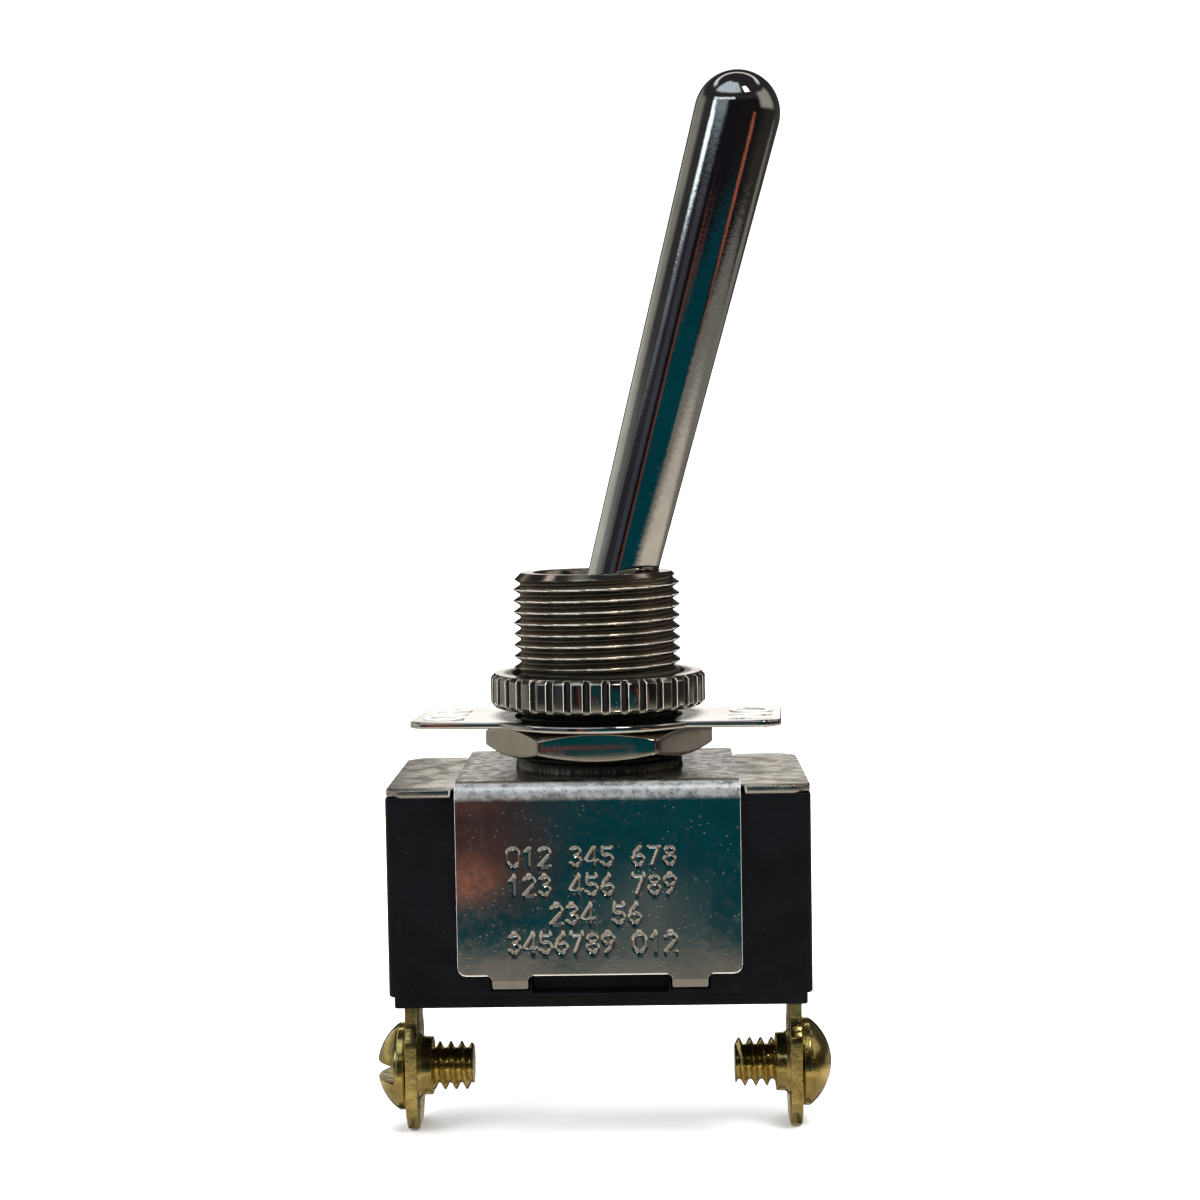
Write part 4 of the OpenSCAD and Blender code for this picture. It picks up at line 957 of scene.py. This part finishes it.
def make_case(s):
    """The case: a ring of points round a rectangle with round corners, stacked from the foot up and drawn in
    for the foot's step. On the front and back it is pushed in for the recess and the tabs' notches, and on the
    ends for the terminals' slots. A softly edged pad stands under the middle."""
    edge, foot, inset, recess, recess_d, rise, pad = mm(s, "edge_radius", "foot_height", "foot_inset",
        "recess_half", "recess_depth", "recess_rise", "pad_half")
    w, d, top, pad_low = CASE_HIGH[0], CASE_HIGH[1], CASE_HIGH[2], CASE_LOW[2]
    low = pad_low + 0.12
    marks = np.array([0, recess - 0.05, recess + 0.05, TAB_PLACE - 1.375, TAB_PLACE - 1.275, TAB_PLACE + 1.275,
        TAB_PLACE + 1.375, w - edge])
    xs = np.unique(np.round(np.concatenate([np.linspace(0, w - edge, 30), marks]), 3))
    xs = np.concatenate([-xs[::-1], xs[1:]])
    ys = np.unique(np.round(np.concatenate([np.linspace(0, d - edge, 18), [2.5, 2.6]]), 3))
    ys = np.concatenate([-ys[::-1], ys[1:]])
    bend = np.radians(np.linspace(0, 90, 9)[1:-1])
    ring, normal = [], []
    for start, line, fixed in ((-90, xs, 0), (0, ys, 1), (90, -xs, 0), (180, -ys, 1)):
        a = math.radians(start)
        n = np.array([math.cos(a), math.sin(a)])
        flat = np.stack([line, np.full(len(line), n[1] * d)],
            -1) if fixed == 0 else np.stack([np.full(len(line), n[0] * w), line], -1)
        ring.append(flat)
        normal.append(np.repeat(n[None], len(line), 0))
        turn = a + bend
        centre = flat[-1] - n * edge
        out = np.stack([np.cos(turn), np.sin(turn)], -1)
        ring.append(centre + out * edge)
        normal.append(out)
    ring, normal = np.concatenate(ring), np.concatenate(normal)
    wall = soften(np.array([[1.2, low], [inset, low], [inset, low + foot], [0, low + foot], [0, top],
        [1.2, top]]), [0.1, 0.16, 0.05, 0.16, 0.1, 0.1], 4, False)
    steps = np.array([low + rise, NOTCH_LOW, NOTCH_HIGH, RECESS_TOP])[:, None] + [-0.05, 0.05]
    lines = np.concatenate([steps.ravel(), np.linspace(-15, top - 0.5, 14)])
    ups = np.stack([np.zeros(len(lines)), lines], -1)
    wall = np.concatenate([wall, ups])
    wall = wall[np.lexsort((np.where(wall[:, 1] > -10, wall[:, 0], -wall[:, 0]), np.round(wall[:, 1], 4)))]
    z = wall[:, 1][:, None]
    x, y = ring[:, 0][None], ring[:, 1][None]
    long_side = (np.abs(normal[:, 1]) > 0.99)[None]
    end_side = (np.abs(normal[:, 0]) > 0.99)[None]
    push = recess_d * band(np.abs(x), -1, recess, 0.1) * band(z, low + rise, RECESS_TOP, 0.1) * long_side
    push = np.maximum(push, 0.5 * band(np.abs(x), TAB_PLACE - 1.325, TAB_PLACE + 1.325, 0.1) * band(z,
        NOTCH_LOW, NOTCH_HIGH, 0.1) * long_side)
    slot = 0.95 * band(np.abs(y), -1, 2.55, 0.1) * (z < low + foot - 0.02) * (wall[:, 0][:,
        None] < 1) * end_side
    push = np.maximum(push, slot)
    inward = wall[:, 0][:, None] + push
    flat = ring[None] - normal[None] * inward[..., None]
    points = np.concatenate([flat, np.broadcast_to(z[..., None], flat.shape[:2] + (1,))], -1)
    shape = Shape().grid(points, wrap_columns=True).cap([points[0]]).cap([points[-1]])
    pad_y = d - inset - 0.6
    outline = soften(np.array([[pad, pad_y], [-pad, pad_y], [-pad, -pad_y], [pad, -pad_y]]), 0.5, 5)
    shape.sheet(outline, [], pad_low, low + 0.2, 0.06)
    phenolic = moulded("case_phenolic_satin", tuple(s.phenolic), 0.36, 0.18, 0.16)
    shape.piece("moulded_case", "housing", "case_phenolic", phenolic, ["case"], smooth=30)


def make_terminals(s):
    """Each terminal: a bent strip inside, a blade with shouldered pad and a drawn, tapped collar. The blade is a
    sheet across Y and Z, given its thickness along X; the collar is turned about the screw's axis."""
    t, neck, pad, pad_len, shoulder, chamfer, collar_r, collar_l = mm(s, "blade", "neck_half", "pad_half",
        "pad_length", "shoulder", "chamfer", "collar_radius", "collar_length")
    outer, low = BLADE_HIGH[0], BLADE_LOW[2]
    top = low + pad_len
    arm_top = span("fixed_contact")[0][2]
    screw_z = joint_point("right_screw_turn")[2]
    metal = brass("terminal_brass_rolled", tuple(s.brass), 0.20, (1, 0.2, 1))
    for name, side in (("left", -1), ("right", 1)):
        shape = Shape()
        # Sheets across Y and Z: their own height runs along X
        upright = Matrix(((0, 0, side, 0), (side, 0, 0, 0), (0, 1, 0, 0), (0, 0, 0, 1)))
        half = np.array([[neck, BLADE_TOP], [neck, top], [pad, top - shoulder], [pad, low + chamfer],
            [pad - chamfer, low]])
        corners = np.concatenate([half, (half * [-1, 1])[::-1]])
        outline = soften(corners, [0.05, 0.5, 0.5, 0.6, 0.5, 0.5, 0.6, 0.5, 0.5, 0.05], 5)
        hole = arc((0, screw_z), TAP_R, 0, 360, 49)[:-1]
        shape.sheet(outline, [hole], outer - t, outer, 0.10, upright)
        ring = soften(np.array([[TAP_R, outer - t + 0.3], [collar_r + 0.35, outer - t + 0.05],
            [collar_r, outer - t - 0.25], [collar_r - 0.04, outer - t - collar_l],
            [SHANK_R, outer - t - collar_l], [TAP_R, outer - t - collar_l + 0.25]]), 0.12, 4)
        about_x = Matrix(((0, 0, side, 0), (0, 1, 0, 0), (-side, 0, 0, screw_z), (0, 0, 0, 1)))
        shape.grid(placed(turned(ring, columns(56)), about_x), wrap_rows=True, wrap_columns=True)
        # Bent strip over the floor, drawn in X and Z and carried across Y
        end = span("right_terminal")[0][0] if side > 0 else -span("left_terminal")[1][0]
        across = Matrix(((side, 0, 0, 0), (0, 0, 1, 0), (0, 1, 0, 0), (0, 0, 0, 1)))
        bent = np.concatenate([[[end, arm_top]], arc((outer - BEND_R, arm_top - BEND_R), BEND_R, 90, 0, 8),
            [[outer, STRIP_LOW], [outer - t, STRIP_LOW]],
            arc((outer - BEND_R, arm_top - BEND_R), BEND_INNER_R, 0, 90, 6), [[end, arm_top - t]]])
        shape.sheet(bent, [], -neck, neck, 0.08, across)
        if side > 0:
            rocker = joint_point("rocker_tilt")[2]
            foot = [[-EAR_R, arm_top - t], [EAR_R, arm_top - t]]
            ear = np.concatenate([foot, arc((0, rocker), EAR_R, 0, 180, 20)])
            pin_hole = arc((0, rocker), EAR_HOLE_R, 0, 360, 33)[:-1]
            for ear_low, ear_high in ((EAR_IN, EAR_OUT), (-EAR_OUT, -EAR_IN)):
                shape.sheet(ear, [pin_hole], ear_low, ear_high, 0.06, across)
            shape.sheet(np.array([[-1.6, arm_top - t + 0.01], [1.6, arm_top - t + 0.01], [1.6, arm_top - 0.01],
                [-1.6, arm_top - 0.01]]), [], -3.2, 3.2, 0.04, across)
        shape.piece(f"{name}_blade", "housing", "terminal_brass", metal, [f"{name}_terminal"])


def make_screws(s):
    """Each screw: a domed, slotted head, a disc of two parameters whose columns follow the slot's edges and
    whose height is the smaller of the dome and the slot's floor; below it a rim and a helical thread."""
    radius, height, rim, slot_w, slot_d, pitch = mm(s, "head_radius", "head_height", "rim_height", "slot_width",
        "slot_depth", "pitch")
    screw_z = joint_point("right_screw_turn")[2]
    head_x = SCREW_HIGH[0] - height
    shank, tip = SHANK_R, head_x - SCREW_LOW[0]
    metal = brass("screw_brass_turned", (0.72, 0.56, 0.20), 0.17, (0.25, 1, 1))
    dome_rise = height - rim
    dome_r = (radius ** 2 + dome_rise ** 2) / (2 * dome_rise)
    edge = slot_w / 2
    xs = np.unique(np.round(np.concatenate([radius * np.sin(np.radians(np.linspace(-90, 90, 61))),
        [-edge - 0.06, -edge - 0.02, -edge + 0.02, -edge + 0.07, edge - 0.07, edge - 0.02, edge + 0.02,
            edge + 0.06]]), 4))
    v = np.sin(np.radians(np.linspace(-90, 90, 57)))
    x = np.repeat(xs[:, None], len(v), 1)
    y = np.sqrt(np.maximum(radius ** 2 - x ** 2, 0)) * v[None]
    r = np.hypot(x, y)
    dome = height - dome_r + np.sqrt(np.maximum(dome_r ** 2 - r ** 2, 0))
    floor = height - slot_d
    z = np.where(np.abs(x) < edge, np.minimum(dome, floor), dome)
    z = np.where((r > radius - 0.12), np.minimum(z, rim + 0.08 - (r - radius + 0.12) * 0.6), z)
    top = np.stack([x, y, z], -1)
    lip = np.array([[radius, rim - 0.05], [radius, 0.12], [radius - 0.12, 0.0], [1.9, 0.0]])
    order = np.concatenate([top[:, -1], top[::-1, 0][1:-1]])
    around = np.arctan2(order[:, 1], order[:, 0])
    wall = np.concatenate([order[None], turned(lip, around)])
    angles = columns(72)
    heights = np.concatenate([[0.02, -0.5], np.arange(-0.55, -tip + 0.02, -pitch / 14), [-tip]])
    zz, a = heights[:, None], angles[None]
    core = thread(-zz, -a, shank, SCREW_THREAD, pitch, 0.1, 0.3)
    core = np.where(zz > -0.4, shank, core)
    core = np.minimum(core, shank - np.maximum(-zz - (tip - 0.3), 0) * 1.0)
    stem = turned(np.stack([core, np.broadcast_to(zz, core.shape)], -1), angles)
    last = turned(np.array([[shank - 0.42, -tip], [0.0, -tip]]), angles)
    for name, side, turn in (("left", -1, 0.0), ("right", 1, 65.0)):
        spin = Matrix.Rotation(math.radians(turn), 4, "Z")
        along = Matrix(((0, 0, side, side * head_x), (0, 1, 0, 0), (-side, 0, 0, screw_z), (0, 0, 0, 1))) @ spin
        shape = Shape().grid(placed(top, along)).grid(placed(wall, along), wrap_columns=True)
        shape.grid(placed(np.concatenate([stem, last]), along), wrap_columns=True)
        shape.piece(f"{name}_wire_screw", f"{name}_screw", "screw_brass", metal, [f"{name}_screw"], smooth=38)


def dress_inner_parts():
    """Gives the packed nodes that stay their finishes, through their own material slots."""
    steel = plated("pin_steel_drawn", (0.55, 0.55, 0.56), 0.22, 1500, brush=(1, 0.1, 1))
    spring = plated("spring_steel_wire", (0.42, 0.43, 0.45), 0.25, 1800)
    copper = plated("strip_copper_rolled", (0.72, 0.36, 0.22), 0.28, 1400, stain=0.3, brush=(0.1, 1, 1))
    silver = plated("contact_silver_face", (0.80, 0.79, 0.76), 0.22, 1500, stain=0.2)
    nylon = moulded("plunger_nylon", (0.62, 0.58, 0.48), 0.38)
    brown = moulded("rocker_phenolic_brown", (0.085, 0.035, 0.018), 0.45)
    barrier = moulded("barrier_phenolic_brown", (0.10, 0.045, 0.022), 0.5)
    pin_brass = brass("rocker_pin_brass", (0.80, 0.56, 0.22), 0.2, (1, 0.1, 1))
    finishes = {
        "lever_pin": steel, "plunger_spring": spring, "plunger": nylon, "rocker": brown, "barrier": barrier,
        "contact_strip": copper, "moving_contact": silver, "fixed_contact": silver, "rocker_pin": pin_brass,
    }
    for node, material in finishes.items():
        mesh = frame["nodes"][node].data
        if not mesh.materials:
            mesh.materials.append(material)
        for number in range(len(mesh.materials)):
            mesh.materials[number] = material


# ---- Stage ----

def area_light(name, place, aim, size, power, colour):
    """A soft box at a place, turned to an aim, in metres and watts. Mirrored rays don't see it."""
    light = bpy.data.lights.new(name, "AREA")
    light.shape, light.size, light.energy, light.color = "DISK", size, power, colour
    obj = bpy.data.objects.new(name, light)
    bpy.context.scene.collection.objects.link(obj)
    obj.location = place
    obj.rotation_mode = "QUATERNION"
    obj.rotation_quaternion = (Vector(aim) - Vector(place)).to_track_quat("-Z", "Y")
    obj.visible_glossy = False
    return obj


def make_room():
    """The room round the switch, by the direction that a polished face mirrors. Patches are products of two
    bands, one across and one up: russet and teal cards in front, a window and a ceiling panel at the left,
    a lamp at the right, a warm table that brightens downwards, and a pale screen straight behind."""
    world = bpy.data.worlds.new("studio_room")
    bpy.context.scene.world = world
    world.use_nodes = True
    t = Tree(world.node_tree)
    way = t.node("ShaderNodeTexCoord", output=0)
    split = t.node("ShaderNodeSeparateXYZ", None, {0: way})
    x, y, z = (Value(t, split.socket.node.outputs[i]) for i in range(3))
    turn = x.math("ARCTAN2", -y) * (180 / math.pi)
    rise = z.math("ARCSINE") * (180 / math.pi)
    away = turn.math("ABSOLUTE")

    def zone(v, low, high, soft):
        return v.range(low - soft, low + soft) * (1 - v.range(high - soft, high + soft))

    left = t.mix(rise.range(-3, 4), (0.30, 0.285, 0.24), (0.62, 0.60, 0.52))
    left = t.mix(turn.range(-110, -94), left, (0.28, 0.28, 0.255))
    left = t.mix(turn.range(-88, -76), left, (0.15, 0.15, 0.145))
    left = t.mix(turn.range(-72, -66), left, (0.030, 0.030, 0.036))
    left = t.mix(turn.range(-48, -42), left, (0.062, 0.062, 0.076))
    left = t.mix(turn.range(-32, -27), left, (0.008, 0.008, 0.012))
    right = t.mix(turn.range(54, 92), (0.012, 0.010, 0.011), (0.036, 0.032, 0.028))
    right = t.mix(turn.range(112, 124), right, t.mix(rise.range(-5.5, -3.5), (0.23, 0.21, 0.18),
        (0.060, 0.056, 0.050)))
    wall = t.mix(turn.range(0, 20), left, right)
    dim = t.mix(turn.range(-114, -96), (0.29, 0.275, 0.235), (0.045, 0.043, 0.042))
    wall = t.mix(rise.range(9, 18) * (1 - zone(turn, -70, 62, 4)), wall, dim)
    ragged = t.noise(way, 16, 5, 0.7, 0.6)
    slant = rise + turn * 0.2
    strip = t.mix(rise.range(17.0, 19.2), (0.18, 0.20, 0.225), (2.3, 2.6, 2.6))
    wall = t.mix(zone(turn + ragged * 16 - 8, -71, -58, 3) * rise.range(12, 15), wall, strip)
    wall = t.mix(zone(turn, -64, -28, 7) * slant.range(7.0, 8.6), wall, (0.26, 0.32, 0.33))
    wall = t.mix(zone(turn, -20, -13, 1.2) * zone(rise, -12, 8, 1.5), wall, (0.15, 0.055, 0.038))
    wall = t.mix(zone(turn, -16, 0, 3) * zone(slant, 2.6, 3.7, 0.3), wall, (0.17, 0.066, 0.048))
    wall = t.mix(zone(turn, -14, 44, 1.5) * (1 - slant.range(2.4, 3.0)), wall, (0.001, 0.056, 0.071))
    russet = t.mix(rise.range(-10.2, -8.9), (0.082, 0.040, 0.038), (0.046, 0.031, 0.033))
    wall = t.mix(zone(turn, -14, -2.8, 0.9) * zone(rise, -10.7, -5.5, 0.6), wall, russet)
    wall = t.mix(zone(turn, -14, 0.2, 0.8) * zone(rise, -7.8, -5.6, 0.3), wall, (0.115, 0.052, 0.050))
    wall = t.mix(zone(turn, -6, -3.9, 0.6) * zone(rise - turn * 0.25, -9.6, -8.9, 0.35), wall,
        (0.42, 0.17, 0.11))
    wall = t.mix(zone(turn, -6, -4.0, 0.3) * zone(rise, -8.45, -8.2, 0.12), wall, (0.36, 0.13, 0.08))
    russet = t.mix(rise.range(-10, -7), (0.15, 0.070, 0.058), (0.40, 0.115, 0.068))
    wall = t.mix(zone(turn + rise * 1.1, 39.6, 46.4, 1.0) * zone(rise, -15, -1.6, 0.6), wall, russet)
    table = t.mix(rise.range(-13.2, -17.0), (0.225, 0.21, 0.18), (0.74, 0.66, 0.53))
    table = t.mix(rise.range(-21, -28), table, (0.36, 0.33, 0.27))
    front = zone(away, 0, 44, 2)
    room = t.mix(front * rise.range(-12.6, -12.0) + (1 - front) * rise.range(-11.2, -9.8), table, wall)
    room = t.mix(rise.range(24, 34), room, (0.034, 0.032, 0.034))
    room = t.mix(zone(turn, -72, -8, 3) * zone(rise, 29.5, 34.5, 1.0), room, (1.2, 1.3, 1.32))
    room = t.mix(zone(turn, 66, 112, 8) * zone(rise, 9, 42, 4), room, (0.46, 0.43, 0.37))
    room = t.mix(zone(turn, -85, 12, 8) * zone(rise, 48, 80, 3), room, (0.72, 0.82, 0.86))
    room = t.mix(zone(turn, 27, 43, 2) * zone(rise, 49, 63, 2), room, (17.0, 15.6, 13.0))
    behind = away.range(100, 120)
    room = t.mix(behind * zone(rise, 50, 57, 1.5), room, (1.15, 1.02, 0.98))
    outline = zone(away, 153, 172, 1.5) * (1 - rise.range(24, 32))
    room = t.mix(outline + away.range(170, 174) * zone(rise, 17, 30, 3), room, (0.02, 0.02, 0.02))
    room = t.mix(away.range(171, 174) * zone(rise, -4, 15, 2), room, (1.05, 1.02, 0.97))
    seen = t.node("ShaderNodeLightPath", output=3)
    colour = t.mix(seen, (0.9, 0.9, 0.9), room)
    background = t.nodes["Background"]
    t.links.new(colour.socket, background.inputs["Color"])
    background.inputs["Strength"].default_value = 1.0


def make_stage(s):
    """A pale floor that curves up behind, soft boxes above, the room, and the camera."""
    low = CAD_BOX[0].z - 0.0001
    reach, back, bend = 2.4, 1.1, 0.5
    turn = np.linspace(0, math.pi / 2, 20)
    profile = np.concatenate([[[-reach, 0]], np.stack([back + bend * np.sin(turn), bend - bend * np.cos(turn)],
        -1), [[back + bend, 2.4]]])
    x = np.array([-3.0, 3.0])
    grid = np.stack([np.repeat(x[:, None], len(profile), 1), np.repeat(profile[None, :, 0], 2, 0),
        low + np.repeat(profile[None, :, 1], 2, 0)], -1)
    mesh = bpy.data.meshes.new("pale_floor")
    count = len(profile)
    quads = [[i, i + 1, count + i + 1, count + i][::-1] for i in range(count - 1)]
    mesh.from_pydata(grid.reshape(-1, 3).tolist(), [], quads)
    mesh.shade_smooth()
    floor = bpy.data.objects.new("pale_floor", mesh)
    bpy.context.scene.collection.objects.link(floor)

    def build(t):
        cloth = t.noise(t.position(), 60, 3, 0.5)
        return {"Base Color": t.mix(cloth, tuple(c * 0.985 for c in s.floor), tuple(s.floor)), "Roughness": 0.9}
    mesh.materials.append(finish_material("floor_paper", build, 0.0))
    floor.visible_glossy = False
    make_room()
    area_light("key_box", (0.35, -0.45, 0.75), (0, 0, 0), 0.45, 9, (1, 0.98, 0.95))
    area_light("fill_box", (-0.6, -0.5, 0.5), (0, 0, 0), 0.6, 6, (0.96, 0.98, 1))
    area_light("back_box", (0.0, 0.7, 0.9), (0, 0.3, -0.03), 0.9, 14, (1, 1, 1))
    camera = bpy.data.cameras.new("front_camera")
    camera.sensor_width, camera.lens, camera.clip_start, camera.clip_end = 36, s.lens, 0.01, 20
    obj = bpy.data.objects.new("front_camera", camera)
    bpy.context.scene.collection.objects.link(obj)
    yaw, pitch, roll = (math.radians(a) for a in (-1.141, 3.601, -0.967))
    ahead = Vector((math.sin(yaw) * math.cos(pitch), math.cos(yaw) * math.cos(pitch), -math.sin(pitch)))
    right = Vector((math.cos(yaw), -math.sin(yaw), 0))
    up = right.cross(ahead)
    right, up = math.cos(roll) * right + math.sin(roll) * up, -math.sin(roll) * right + math.cos(roll) * up
    turned_by = Matrix((right, up, -ahead)).transposed().to_4x4()
    obj.matrix_world = Matrix.Translation((0.003555, -0.166309, 0.019143)) @ turned_by
    bpy.context.scene.camera = obj
    bpy.context.scene.view_settings.view_transform = "Standard"


# ---- Operators, panel and registration ----

def operator(name, label, group, words, work):
    """An operator that makes one piece or group from its settings, and raises if it can't."""
    def execute(self, context):
        settings = getattr(context.scene.toggle_switch, group) if group else None
        work(settings) if group else work()
        return {"FINISHED"}
    return type(f"TOGGLE_OT_{name}", (bpy.types.Operator,), {
        "bl_idname": f"toggle.{name}", "bl_label": label, "bl_options": {"REGISTER", "UNDO"}, "__doc__": words,
        "execute": execute,
    })


OPERATORS = [
    operator("case", "Moulded case", "case", "Makes the moulded case with its foot, recess and notches",
        make_case),
    operator("cover", "Cover plate", "cover", "Makes the cover plate", make_cover),
    operator("strap", "Folded frame", "strap", "Makes the folded frame with its stamped digits", make_strap),
    operator("bushing", "Threaded bushing", "bushing", "Makes the bushing with its helical thread",
        make_bushing),
    operator("lever", "Bat handle", "lever", "Makes the lever with its ball and tail", make_lever),
    operator("hex_nut", "Hex nut", "nuts", "Makes the hex nut under the panel", make_hex_nut),
    operator("knurled_nut", "Knurled nut", "nuts", "Makes the fluted ring nut", make_knurled_nut),
    operator("label", "ON-OFF plate", "label", "Makes the plate and its raised words", make_label),
    operator("terminals", "Terminals", "terminals", "Makes the two blade terminals", make_terminals),
    operator("screws", "Wire screws", "terminals", "Makes the two slotted screws", make_screws),
    operator("inner_parts", "Inner parts", None, "Finishes the parts inside the case", dress_inner_parts),
    operator("stage", "Stage", "stage", "Makes the floor, the light and the camera", make_stage),
]


class TOGGLE_PT_looks(bpy.types.Panel):
    """Lists the pieces of the switch."""
    bl_label = "Toggle Switch"
    bl_idname = "TOGGLE_PT_looks"
    bl_space_type = "VIEW_3D"
    bl_region_type = "UI"
    bl_category = "Toggle Switch"

    def draw(self, context):
        for made in OPERATORS:
            self.layout.operator(made.bl_idname)


class SwitchSettings(bpy.types.PropertyGroup):
    """All the settings of the switch."""
    __annotations__ = {name: bpy.props.PointerProperty(type=group, name=name.title(),
        description=group.__doc__) for name, group in SETTINGS.items()}


def register():
    for group in SETTINGS.values():
        bpy.utils.register_class(group)
    for made in (SwitchSettings, *OPERATORS, TOGGLE_PT_looks):
        bpy.utils.register_class(made)
    bpy.types.Scene.toggle_switch = bpy.props.PointerProperty(type=SwitchSettings)


def unregister():
    del bpy.types.Scene.toggle_switch
    for made in (TOGGLE_PT_looks, *reversed(OPERATORS), SwitchSettings, *reversed(list(SETTINGS.values()))):
        bpy.utils.unregister_class(made)


def main():
    register()
    for made in OPERATORS:
        group, name = made.bl_idname.split(".")
        getattr(getattr(bpy.ops, group), name)()


if __name__ == "__main__":
    main()
